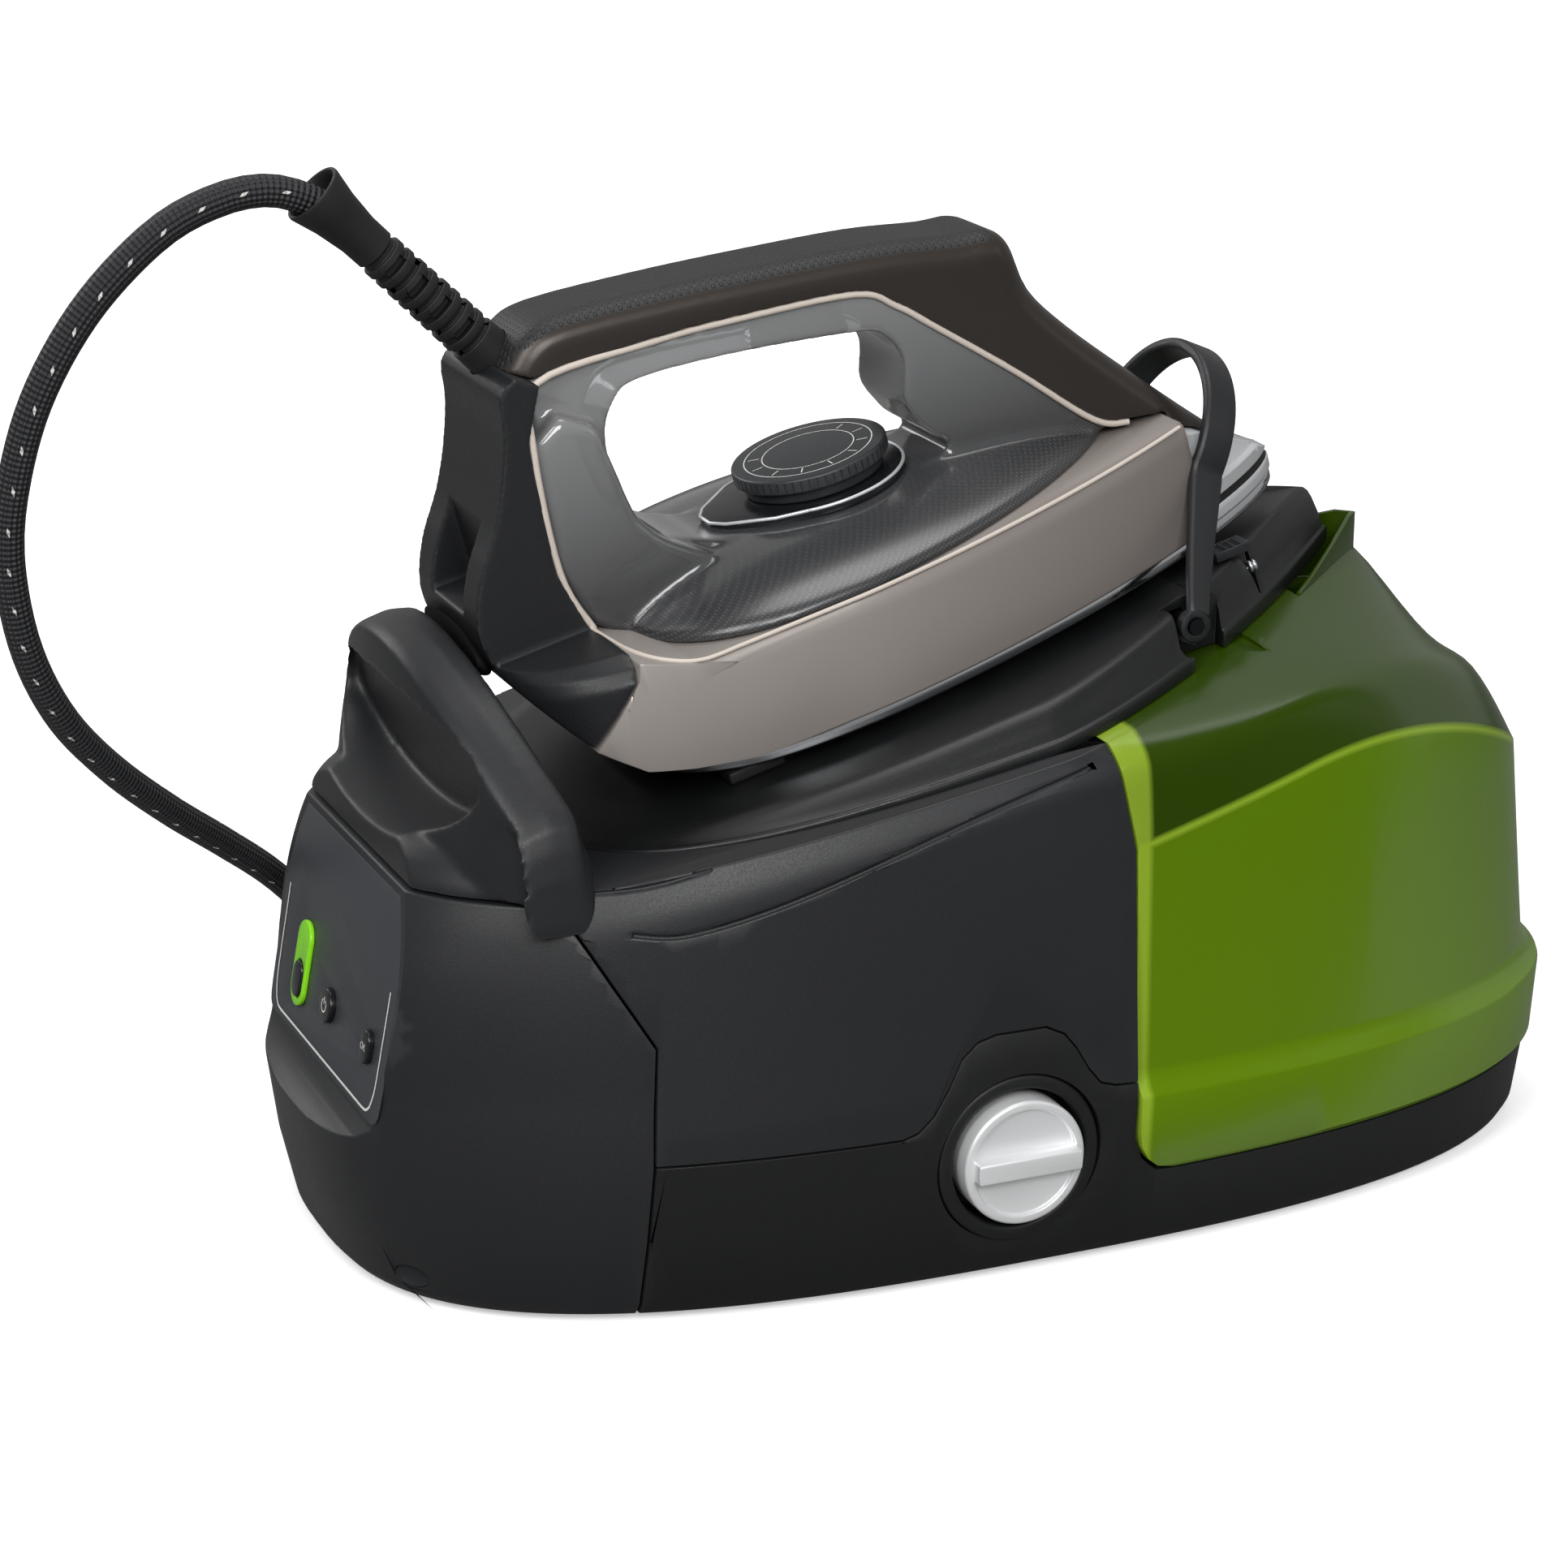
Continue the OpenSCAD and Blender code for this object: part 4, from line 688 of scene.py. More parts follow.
def rounded(width, height, radius, steps=10):
    corners = []
    for sx, sy, first in ((1, 1, 0), (-1, 1, 90), (-1, -1, 180), (1, -1, 270)):
        cx, cy = sx * (width / 2 - radius), sy * (height / 2 - radius)
        corners += [(cx + radius * math.cos(math.radians(first + 90 * i / steps)),
            cy + radius * math.sin(math.radians(first + 90 * i / steps)))
            for i in range(steps + 1)]
    return corners


side_line = smooth_line([(50, 1.2), (53.6, 5), (54.4, 22), (55, 42), (52.4, 55),
    (48.6, 64), (45.4, 69.6)], 4)
panel = slab("control_panel", side_line + [(-x, y) for x, y in side_line[::-1]], -0.4, 0.5)
for x, z, w, h in ((-27, 80.5, 12.6, 27.6), (1, 77, 11.2, 11.2), (39, 78, 7.8, 10.8)):
    hole = slab("tool", rounded(w, h, w / 2 - 0.01), -2, 5)
    hole.data.transform(Matrix.Translation((x, (z - 57) / math.cos(PANEL_LEAN), 0)))
    boolean(panel, hole)
soften(panel, 0.35)
panel_grey = moulded("dark grey panel plastic", "#34363a", 0.46, grain=0.5)
place(panel, on_panel(0, 57), panel_grey, "base", ["control_panel"], "smoke_plastic")

ink, tree, shader = finish_of("white printing ink", "#e9e9e6", 0.5)
u_line = smooth_line([(-50, 42), (-49.6, 15), (-48.4, 8.4)], 4) + smooth_line(
    [(-47.2, 5.8), (-44.6, 4), (-41, 3.6)], 4)
u_line += [(x, 3.6) for x in range(-38, 39, 4)] + [(-x, y) for x, y in u_line[::-1]]
ribbon = bpy.data.meshes.new("panel_line")
offsets = []
for i, (x, y) in enumerate(u_line):
    a, b = u_line[max(i - 1, 0)], u_line[min(i + 1, len(u_line) - 1)]
    run = Vector((b[0] - a[0], b[1] - a[1])).normalized()
    offsets += [(x - run.y * 0.4, y + run.x * 0.4, 0.66),
        (x + run.y * 0.4, y - run.x * 0.4, 0.66)]
ribbon.from_pydata(offsets, [], [(2 * i, 2 * i + 1, 2 * i + 3, 2 * i + 2)
    for i in range(len(u_line) - 1)])
line_print = bpy.data.objects.new("panel_line", ribbon)
scene.collection.objects.link(line_print)
place(line_print, on_panel(0, 57), ink, "base", [], "white_plastic")

# Green surround of the economy key, in glossy lime plastic.
lime = moulded("lime green plastic", "#7fd21a", 0.3, grain=2.0, depth=0.00002, edge_highlight=0.1)
bezel = slab("eco_bezel", rounded(12, 27, 5.99), 0.3, 1.9)
key_hole = slab("tool", rounded(8.2, 12.2, 4.09), -3, 5)
key_hole.data.transform(Matrix.Translation((0, -5, 0)))
boolean(bezel, key_hole)
soften(bezel, 0.45, 3)
place(bezel, on_panel(27, 80.5), lime, "base", ["eco_bezel"], "green_plastic")

# Keys: gloss black caps with a domed edge; each goes down under the finger.
key_black = moulded("gloss black key plastic", "#121316", 0.22, grain=3.0, depth=0.00001)


def key(name, y, z, w, h, top, body):
    cap = slab(name, rounded(w, h, w / 2 - 0.01), -1.6, top)
    soften(cap, 0.7, 4)
    place(cap, on_panel(y, z), key_black, body, [name], "button_plastic")


key("eco_button", 27, 75.6, 7.6, 11.6, 2.6, "eco_key")
key("power_button", -1, 77, 10.6, 10.6, 2.4, "power_key")
key("ok_button", -39, 78, 7.2, 10.2, 2.4, "ok_key")

# Printed power sign: a ring open at the top with a stroke in it; and the word on the
# other key. Both lie flat on their caps.
ring = bpy.data.meshes.new("power_sign")
arc = [math.radians(125 + 290 * i / 30) for i in range(31)]
points = [(r * math.cos(t), r * math.sin(t), 2.46) for t in arc for r in (1.75, 2.25)]
faces = [(2 * i, 2 * i + 1, 2 * i + 3, 2 * i + 2) for i in range(30)]
base = len(points)
points += [(-0.25, 0.5, 2.46), (0.25, 0.5, 2.46), (0.25, 2.7, 2.46), (-0.25, 2.7, 2.46)]
ring.from_pydata(points, [], faces + [(base, base + 1, base + 2, base + 3)])
sign = bpy.data.objects.new("power_sign", ring)
scene.collection.objects.link(sign)
place(sign, on_panel(-1, 77), ink, "power_key", [], "white_plastic")


def word(name, text, size, matrix, body, material=ink):
    curve = bpy.data.curves.new(name, "FONT")
    curve.body, curve.size = text, size
    curve.align_x, curve.align_y = "CENTER", "CENTER"
    made = bpy.data.objects.new(name + "_curve", curve)
    scene.collection.objects.link(made)
    bpy.context.view_layer.update()
    mesh = bpy.data.meshes.new_from_object(made)
    bpy.data.objects.remove(made)
    flat = bpy.data.objects.new(name, mesh)
    scene.collection.objects.link(flat)
    place(flat, matrix, material, body, [], "white_plastic")


word("ok_sign", "OK", 3.0, on_panel(-39, 78) @ Matrix.Translation((0, 0, 2.46)), "ok_key")

# ---------------------------------------------------------------------------
# Calc collector: a recessed collar in the tray with a turned silver knob and its grip.
collar = bar((KNOB_X, -107, KNOB_Z), 26.1, 13)
boolean(collar, bar((KNOB_X, -110, KNOB_Z), 21.6, 14))
boolean(collar, bar((KNOB_X, -110, KNOB_Z), 10, 30))
soften(collar, 1.2, 3)
place(collar, MM, tray_black, "base", ["knob_collar"], "black_plastic")

knob = bar((KNOB_X, -111, KNOB_Z), 19.5, 11.5, "Y", 96)
soften(knob, 1.2, 4)
boolean(knob, bar((KNOB_X, -112, KNOB_Z), 16.6, 2.2, "Y", 96))
grip = block((KNOB_X - 16.9, -115, KNOB_Z - 3.1), (KNOB_X + 16.9, -105, KNOB_Z + 3.1))
boolean(grip, bar((KNOB_X, -118, KNOB_Z), 16.9, 20, "Y", 96), "INTERSECT")
boolean(knob, grip, "UNION")
soften(knob, 0.5, 3)
silver, tree, shader = finish_of("silver painted plastic", "#e4e5e6", 0.34, 0.4)
where = node(tree, "ShaderNodeTexCoord")
moved = node(tree, "ShaderNodeMapping", {0: where.outputs["Object"],
    "Location": (0.017, 0, -0.04)})
parts = node(tree, "ShaderNodeSeparateXYZ", {0: moved.outputs[0]})
sq_x = node(tree, "ShaderNodeMath", {0: parts.outputs[0], 1: parts.outputs[0]},
    operation="MULTIPLY")
sq_z = node(tree, "ShaderNodeMath", {0: parts.outputs[2], 1: parts.outputs[2]},
    operation="MULTIPLY")
total = node(tree, "ShaderNodeMath", {0: sq_x.outputs[0], 1: sq_z.outputs[0]},
    operation="ADD")
reach = node(tree, "ShaderNodeMath", {0: total.outputs[0], 1: 0.5}, operation="POWER")
turned = node(tree, "ShaderNodeTexNoise", {"W": reach.outputs[0], "Scale": 4000.0},
    noise_dimensions="1D")
bump = node(tree, "ShaderNodeBump", {"Strength": 0.25, "Distance": 0.00003,
    "Height": turned.outputs[0]})
tree.links.new(bump.outputs[0], shader.inputs["Normal"])
place(knob, MM, silver, "knob", ["calc_knob"], "silver_plastic")

# ---------------------------------------------------------------------------
# Lock hoop: a band of glass-filled nylon that swings up over the nose. Its inner face is
# grained and its edges carry the painted highlight of the moulded finish; the legs draw in
# towards a round crown.
LEAN = Matrix.Translation((62, 0, 181)) @ Matrix.Rotation(math.radians(23), 4, "Y")
hoop_line = []
for i in range(49):
    angle = math.pi * (1 - i / 48)
    hoop_line.append((32.6 * math.cos(angle), 77.7 - 34.3 + 32.6 * math.sin(angle)))
leg = [(-58.3 + 25.7 * (i / 14) ** 0.92, 4 + 39.4 * i / 14) for i in range(14)]
outer = [(-58.3, -5.6), (-58.3, 0)] + leg + hoop_line
outer += [(-y, z) for y, z in leg[::-1]] + [(58.3, 0), (58.3, -5.6)]
rings = []
for i, (y, z) in enumerate(outer):
    a, b = outer[max(i - 1, 0)], outer[min(i + 1, len(outer) - 1)]
    run = Vector((b[0] - a[0], b[1] - a[1])).normalized()
    normal = Vector((-run.y, run.x))
    rise = min(max((z + 5) / 45, 0), 1)
    w, t = 3.2 + 2.4 * rise, 1.7
    section = [(-w, -t + 0.5), (-w + 0.5, -t), (w - 0.5, -t), (w, -t + 0.5), (w, t - 0.9),
        (w - 0.9, t), (-w + 0.9, t), (-w, t - 0.9)]
    rings.append([(x, y + normal.x * d, z + normal.y * d) for x, d in section])
hoop = lofted("lock_hoop", rings)
for side in (-1, 1):
    boolean(hoop, bar((0, side * 58.3 - 1.75, 0), 5, 3.5), "UNION")
    boolean(hoop, bar((0, side * 58 - 20, 0), 2.65, 40))
soften(hoop, 0.35)
nylon = moulded("glass-filled nylon", "#1b1c1e", 0.4, grain=0.9, depth=0.00012)
place(hoop, MM @ LEAN, nylon, "hoop", ["lock_hoop"], "black_plastic", 40)

latch = block((75, -39.5, -3.7), (87, -31.5, -0.7))
boolean(latch, block((77, -38, -14), (81, -33, -3)), "UNION")
for x in (78.5, 81, 83.5):
    boolean(latch, block((x - 0.5, -38.7, -1.1), (x + 0.5, -32.3, 0)))
soften(latch, 0.4)
place(latch, IRON, nylon, "latch", ["hoop_latch"], "black_plastic")

# ---------------------------------------------------------------------------
# Water tank: clear green polycarbonate, 2.2 mm thick, with a thicker band below a ledge.
# Above the crease the green is darker: painted shade for the dark inside seen through the
# shell.
EDGE = [(15, 218), (15, 161), (21, 130), (22, 60), (22.3, 42), (23, 37), (25.4, 32.6),
    (29, 29.6), (35, 28)]
tank = skin("water_tank", TANK_LOWER, 0, 0.4)
boolean(tank, prism(EDGE + [(400, 27), (400, 240), (15, 240)]), "INTERSECT")


def spout(inset):
    nose = 152 - inset
    low, high = (14, 30) if inset else (6, 0)
    made = lofted("tool", [[(x, y, z) for x, y in outline(100, nose, 95.5 - inset,
        2.8, 1.4, 0.95)] for z in (150, 228)])
    return boolean(made, prism([(112, 179 - low), (170, 190 - low), (170, 193 + high),
        (nose - 5, 193 + high), (118, 181 + high), (112, 179 + high)], 46 - inset),
        "INTERSECT")


hollow = skin("tool", TANK_LOWER, 2.2, 2.6)
boolean(hollow, prism([(x + 2.2, z + (2.2 if z < 30 else 0)) for x, z in EDGE]
    + [(400, 30.2), (400, 240), (17.2, 240)]), "INTERSECT")
boolean(tank, hollow)
boolean(tank, bar((17, -45, 49), 6.1, 12, "X"))
boolean(tank, spout(0), "UNION")
boolean(tank, spout(2.2))
rest_room = lofted("tool", [[(x, y, z) for x, y in rest_outline(-0.8)] for z in (0, 400)])
boolean(rest_room, prism([(-400, 82.4), (400, 232.8), (400, 400), (-400, 400)]),
    "INTERSECT")
boolean(tank, rest_room)
for side in (-1, 1):
    boolean(tank, block((53, side * 58 - (14 if side > 0 else 6), 172),
        (84, side * 58 + (6 if side > 0 else 14), 232)))
soften(tank, 0.35, 2, 44)
green, tree, shader = finish_of("clear green polycarbonate", "#6fae12", 0.16,
    Transmission_Weight=0.1, IOR=1.36, Specular_IOR_Level=0.1)
where = node(tree, "ShaderNodeTexCoord")
parts = node(tree, "ShaderNodeSeparateXYZ", {0: where.outputs["Object"]})
slope = node(tree, "ShaderNodeMath", {0: parts.outputs[0], 1: -0.27}, operation="MULTIPLY")
level = node(tree, "ShaderNodeMath", {0: slope.outputs[0], 1: parts.outputs[2]},
    operation="ADD")
over = node(tree, "ShaderNodeMath", {0: parts.outputs[0], 1: 0.08}, operation="SUBTRACT")
past = node(tree, "ShaderNodeMath", {0: over.outputs[0], 1: 0.0}, operation="MAXIMUM")
bend = node(tree, "ShaderNodeMath", {0: past.outputs[0], 1: 2.0}, operation="POWER")
fall = node(tree, "ShaderNodeMath", {0: bend.outputs[0], 1: 4.4, 2: level.outputs[0]},
    operation="MULTIPLY_ADD")
# Painted shade: above the crease line the green turns dark.
shade_above_crease = node(tree, "ShaderNodeMapRange", {0: fall.outputs[0], 1: 0.1245, 2: 0.1262})
mist = node(tree, "ShaderNodeTexNoise", {"Vector": where.outputs["Object"], "Scale": 22.0})
depth = node(tree, "ShaderNodeMapRange", {0: parts.outputs[2], 1: 0.03, 2: 0.13})
body_tone = node(tree, "ShaderNodeMix", {0: depth.outputs[0], 6: colour("#638407"),
    7: colour("#5a7c03")}, data_type="RGBA")
tone = node(tree, "ShaderNodeMix", {0: shade_above_crease.outputs[0], 6: body_tone.outputs[2],
    7: colour("#2b4002")}, data_type="RGBA")
# Painted highlights: a light green line just under the crease and a light strip along the
# front edge.
highlight_step = node(tree, "ShaderNodeMapRange", {0: fall.outputs[0], 1: 0.1225, 2: 0.1242})
crease_highlight_line = node(tree, "ShaderNodeMath", {0: highlight_step.outputs[0], 1: shade_above_crease.outputs[0]},
    operation="SUBTRACT")
front_edge_highlight = node(tree, "ShaderNodeMapRange", {0: parts.outputs[0], 1: 0.0265, 2: 0.0245})
bright = node(tree, "ShaderNodeMath", {0: crease_highlight_line.outputs[0], 1: front_edge_highlight.outputs[0]},
    operation="MAXIMUM")
half_bright = node(tree, "ShaderNodeMath", {0: bright.outputs[0], 1: 0.6},
    operation="MULTIPLY")
lit = node(tree, "ShaderNodeMix", {0: half_bright.outputs[0], 6: tone.outputs[2],
    7: colour("#a3c23a")}, data_type="RGBA")
tree.links.new(lit.outputs[2], shader.inputs["Base Color"])
rough = node(tree, "ShaderNodeMapRange", {0: mist.outputs[0], 3: 0.14, 4: 0.3})
tree.links.new(rough.outputs[0], shader.inputs["Roughness"])
place(tank, MM, green, "tank", ["water_tank"], "tank_plastic", 34)

# ---------------------------------------------------------------------------
# Sole of the iron: polished stainless steel, 4 mm thick, with two rows of steam holes,
# and round it the heat shield in warm grey metallic paint.
def sole(grow):
    return outline(66 + grow, 167 + grow, 59.5 + grow, 2.8, 1.6, 0.65, xc=-50)


def stack(name, levels):
    return lofted(name, [[(x, y, z) for x, y in sole(grow)] for z, grow in levels])


plate = stack("soleplate", [(0, -0.8), (0.8, 0), (4, 0)])
for side in (-1, 1):
    for i in range(9):
        hole = bar((80 - 19 * i, side * (23.5 + 3.2 * min(i, 6)), -1), 1.8, 4, "Z", 16)
        boolean(plate, hole)
soften(plate, 0.3, 2)
steel, tree, shader = finish_of("polished stainless steel", "#c9cbce", 0.13, 1.0)
where = node(tree, "ShaderNodeTexCoord")
lined = node(tree, "ShaderNodeMapping", {0: where.outputs["Object"],
    "Scale": (30, 2500, 2500)})
streaks = node(tree, "ShaderNodeTexNoise", {"Vector": lined.outputs[0], "Scale": 1.0})
rough = node(tree, "ShaderNodeMapRange", {0: streaks.outputs[0], 3: 0.08, 4: 0.22})
tree.links.new(rough.outputs[0], shader.inputs["Roughness"])
place(plate, IRON, steel, "iron", ["soleplate"], "polished_steel")

shield = stack("heat_shield", [(4.2, 1.2), (5, 2), (20, 2.2), (34, 2.4), (37.6, 2), (39.4, 1),
    (40, -0.6)])
def tail_outline(inset):
    back = [(x, y) for x, y in outline(50 - inset, 50, 61.9 - inset, 3, 2, 0.5, xc=-100)
        if x < -99]
    back.sort(key=lambda p: math.atan2(p[1], p[0] + 90))
    near = [p for p in back if p[1] < 0]
    far = [p for p in back if p[1] >= 0]
    return far + near + [(-50, inset - 61.9), (-50, 61.9 - inset)]


tail = lofted("tool", [[(x, y, z) for x, y in tail_outline(inset)] for z, inset in
    ((4.2, 1.2), (5, 0.4), (20, 0.2), (34, 0), (37.6, 0.4), (39.4, 1.4), (40, 3))])
boolean(shield, tail, "UNION")
corner = lofted("tool", [[(x, y, z) for x, y in tail_outline(0.1)] for z in (30, 50)])
boolean(corner, prism([(-124, 30), (-116, 46.2), (-104, 41.6), (-88, 36)], 100), "INTERSECT")
boolean(shield, corner, "UNION")
boolean(shield, stack("tool", [(0, -0.6), (38, -0.6)]))
boolean(shield, prism([(77.7, 0), (-50, 3), (-90, 5.6), (-108, 9.5), (-122, 13.6),
    (-133.5, 23), (-117.5, 41), (-115.2, 50), (77.7, 50)], 100), "INTERSECT")
boolean(shield, block((-66, -22, 0), (26, 22, 60)))
soften(shield, 0.4)
taupe, tree, shader = finish_of("warm grey metallic paint", "#8d8076", 0.36, 0.35)
where = node(tree, "ShaderNodeTexCoord")
parts = node(tree, "ShaderNodeSeparateXYZ", {0: where.outputs["Object"]})
run = node(tree, "ShaderNodeMapRange", {0: parts.outputs[0], 1: -0.08, 2: 0.075})
tone = node(tree, "ShaderNodeMix", {0: run.outputs[0], 6: colour("#a19a95"),
    7: colour("#857e79")}, data_type="RGBA")
flake = node(tree, "ShaderNodeTexNoise", {"Vector": where.outputs["Object"],
    "Scale": 5000.0, "Detail": 1.0})
glint = node(tree, "ShaderNodeMapRange", {0: flake.outputs[0], 1: 0.35, 2: 0.65, 3: 0.28,
    4: 0.46})
tree.links.new(tone.outputs[2], shader.inputs["Base Color"])
tree.links.new(glint.outputs[0], shader.inputs["Roughness"])
place(shield, IRON, taupe, "iron", ["heat_shield"], "taupe_shield")

# Nose plate: silver over a black strip, closing the front of the shield.
nose_silver, tree, shader = finish_of("silver nose lacquer", "#d6d7d9", 0.24, 0.4)
nose = stack("nose_plate", [(4.2, 0.2), (4.8, 0.6), (8.6, 0.6), (8.8, -0.2), (11.2, -0.2),
    (11.4, 0.6), (15.4, 0.6), (16, 0), (16.2, -2), (40, -2.6)])
boolean(nose, prism([(78.2, 0), (78.2, 35), (86, 32), (104, 20), (119, 9.4), (122, 6),
    (122, 0)], 100), "INTERSECT")
soften(nose, 0.35)
place(nose, IRON, nose_silver, "iron", ["nose_plate"], "silver_plastic")
nose.data.materials.append(rubber)
for face in nose.data.polygons:
    local = IRON.inverted() @ face.center
    if 8.7 < local.z < 11.3:
        face.material_index = 1

# ---------------------------------------------------------------------------
# Handle: a smoked see-through body with the deck under the dial, moulded in one piece,
# its inner edges rounded where it flows from the deck into both columns.
GRIP_HOLE = [(-95, 90), (-94, 99), (-89, 107), (-80, 110.5), (-49, 107), (-11, 99.5),
    (-3, 95), (0.5, 86), (-2.5, 74), (2, 63), (4, 54), (-60, 54), (-76, 58), (-88, 65),
    (-93.5, 75)]
TRIM = [(-117, 48), (-122, 68), (-119, 107), (-111, 122), (-74, 120.5), (-49, 118),
    (-10, 112), (2, 104), (12, 94), (34, 71), (55, 47.5), (66, 42.6)]


body = lofted("handle_body", [
    [(x, y, z) for x, y in outline(55 + grow, 112 + 1.6 * grow, 59.5 + grow, 2.8, 1.6, 0.65,
        xc=-50)]
    for z, grow in smooth_line([(40.2, 1.9), (41.4, 2.2), (44, 0.4), (47.5, -7), (51, -18),
        (53.4, -30), (54.2, -44)], 3)])
wide = prism([(-109, 40.3)] + smooth_line(TRIM, 3), 17.4)
boolean(wide, stack("tool", [(30, -1.4), (140, -1.4)]), "INTERSECT")
boolean(body, wide, "UNION")
flare = prism([(-107, 40.6), (-117, 49), (-121.6, 68), (-118.8, 105), (-108, 111),
    (-98, 104), (-96, 90), (-94, 74), (-86, 63), (-74, 54), (-60, 47)], 25)
melt(flare, 1.6, 12)
boolean(body, flare, "UNION")
boolean(body, prism(smooth_line(GRIP_HOLE + GRIP_HOLE[:1], 4)[:-1], 60))
boolean(body, block((-41, -6, 96), (-11, 6, 113)))
boolean(body, bar((-30, 0, 30), 3.4, 40, "Z"))
melt(body, 1.15, 14)
smoke, tree, shader = finish_of("smoked see-through plastic", "#3a3c3f", 0.09,
    Transmission_Weight=0.5, IOR=1.45, Coat_Weight=0.6, Coat_Roughness=0.04)
where = node(tree, "ShaderNodeTexCoord")
parts = node(tree, "ShaderNodeSeparateXYZ", {0: where.outputs["Object"]})
dots = []
for axis, step in ((0, 1.6), (2, 1.3)):
    scaled = node(tree, "ShaderNodeMath", {0: parts.outputs[axis], 1: 2000 * math.pi / step},
        operation="MULTIPLY")
    dots.append(node(tree, "ShaderNodeMath", {0: scaled.outputs[0]},
        operation="SINE").outputs[0])
grid = node(tree, "ShaderNodeMath", {0: dots[0], 1: dots[1]}, operation="MULTIPLY")
dot = node(tree, "ShaderNodeMapRange", {0: grid.outputs[0], 1: 0.45, 2: 0.75})
rise = node(tree, "ShaderNodeMath", {0: parts.outputs[0], 1: -0.275, 2: parts.outputs[2]},
    operation="MULTIPLY_ADD")
low = node(tree, "ShaderNodeMapRange", {0: rise.outputs[0], 1: 0.235, 2: 0.217})
shown = node(tree, "ShaderNodeMath", {0: dot.outputs[0], 1: low.outputs[0]},
    operation="MULTIPLY")
faint = node(tree, "ShaderNodeMath", {0: shown.outputs[0], 1: 0.5}, operation="MULTIPLY")
# Painted light: the body turns pale grey towards its top, for the white backdrop seen through
# it and its reflections.
upper_painted_light = node(tree, "ShaderNodeMapRange", {0: rise.outputs[0], 1: 0.22, 2: 0.29})
painted_light_tone = node(tree, "ShaderNodeMix", {0: upper_painted_light.outputs[0], 6: colour("#3a3b3d"),
    7: colour("#a4a5a6")}, data_type="RGBA")
tone = node(tree, "ShaderNodeMix", {0: faint.outputs[0], 6: painted_light_tone.outputs[2],
    7: colour("#8c8e90")}, data_type="RGBA")
tree.links.new(tone.outputs[2], shader.inputs["Base Color"])
satin = node(tree, "ShaderNodeMapRange", {0: low.outputs[0], 3: 0.09, 4: 0.34})
tree.links.new(satin.outputs[0], shader.inputs["Roughness"])
tree.links.new(satin.outputs[0], shader.inputs["Coat Roughness"])
place(body, IRON, smoke, "iron", ["handle_body"], "smoke_plastic", 60)

# Cover of the handle: soft-touch black over the grip with small square dimples, and
# dark brown satin lacquer down its flanks to the nose.
TOP = [(-118, 127), (-110, 133.5), (-98, 136), (-64, 132.4), (-30, 127.4), (3, 121.8),
    (26, 116), (37, 114), (43, 108), (46, 92), (56, 76), (72, 56), (88, 37), (96, 28)]
ridge = smooth_line(TOP, 4)
layers = []
for y in (-19, -18.7, -18, -17, -15.6, -13.6, -11, -6, 0, 6, 11, 13.6, 15.6, 17, 18, 18.7,
        19):
    fall = 8 * (1 - math.sqrt(max(1 - (max(abs(y) - 11, 0) / 8) ** 2, 0)))
    layer = []
    for i, (x, z) in enumerate(ridge):
        a, b = ridge[max(i - 1, 0)], ridge[min(i + 1, len(ridge) - 1)]
        run = Vector((b[0] - a[0], b[1] - a[1])).normalized()
        layer.append((x + run.y * fall, y, z - run.x * fall))
    layers.append(layer + [(100, y, 0), (-110, y, 0)])
cover = lofted("handle_cover", layers)
under = smooth_line([(x, z + 0.5) for x, z in TRIM[3:]], 4)
boolean(cover, prism(under + [(78.6, 40.6), (79, 35.4), (86, 32.7), (98, 25), (110, 60),
    (60, 160), (-130, 160), (-119, 127)], 60), "INTERSECT")
cap = stack("tool", [(20, -1.6), (140, -1.6)])
boolean(cap, block((-130, -30, 100), (-90, 30, 160)), "UNION")
boolean(cover, cap, "INTERSECT")
boolean(cover, block((-41, -6, 96), (-11, 6, 113)))
melt(cover, 0.9, 5)
BOOT = Matrix.Translation((-138.8, 0, 269.6)) @ Matrix.Rotation(math.radians(-45.6), 4, "Y")
socket = bar((0, 0, -6), 7.8, 60, "Z")
socket.data.transform(((IRON.inverted() @ MM) @ BOOT))
boolean(cover, socket)
brown = moulded("dark brown satin lacquer", "#37322e", 0.32, grain=0.4, depth=0.00003,
    edge_highlight=0.2, Metallic=0.45)
place(cover, IRON, brown, "iron", ["handle_cover"], "soft_grip", 50)
soft, tree, shader = finish_of("soft-touch black with dimples", "#131314", 0.55)
where = node(tree, "ShaderNodeTexCoord")
parts = node(tree, "ShaderNodeSeparateXYZ", {0: where.outputs["Object"]})
waves = []
for axis in (0, 1):
    scaled = node(tree, "ShaderNodeMath", {0: parts.outputs[axis], 1: 2000 * math.pi / 2.6},
        operation="MULTIPLY")
    waves.append(node(tree, "ShaderNodeMath", {0: scaled.outputs[0]},
        operation="SINE").outputs[0])
squares = node(tree, "ShaderNodeMath", {0: waves[0], 1: waves[1]}, operation="MULTIPLY")
pits = node(tree, "ShaderNodeMapRange", {0: squares.outputs[0], 1: 0.1, 2: 0.5})
bump = node(tree, "ShaderNodeBump", {"Strength": 0.9, "Distance": 0.0004,
    "Height": pits.outputs[0]})
tree.links.new(bump.outputs[0], shader.inputs["Normal"])
cover.data.materials.append(soft)
up = IRON.to_3x3().normalized() @ Vector((0, 0, 1))
for face in cover.data.polygons:
    local = IRON.inverted() @ face.center
    if face.normal.dot(up) > 0.62 and local.x < 38 and local.z > 110:
        face.material_index = 1

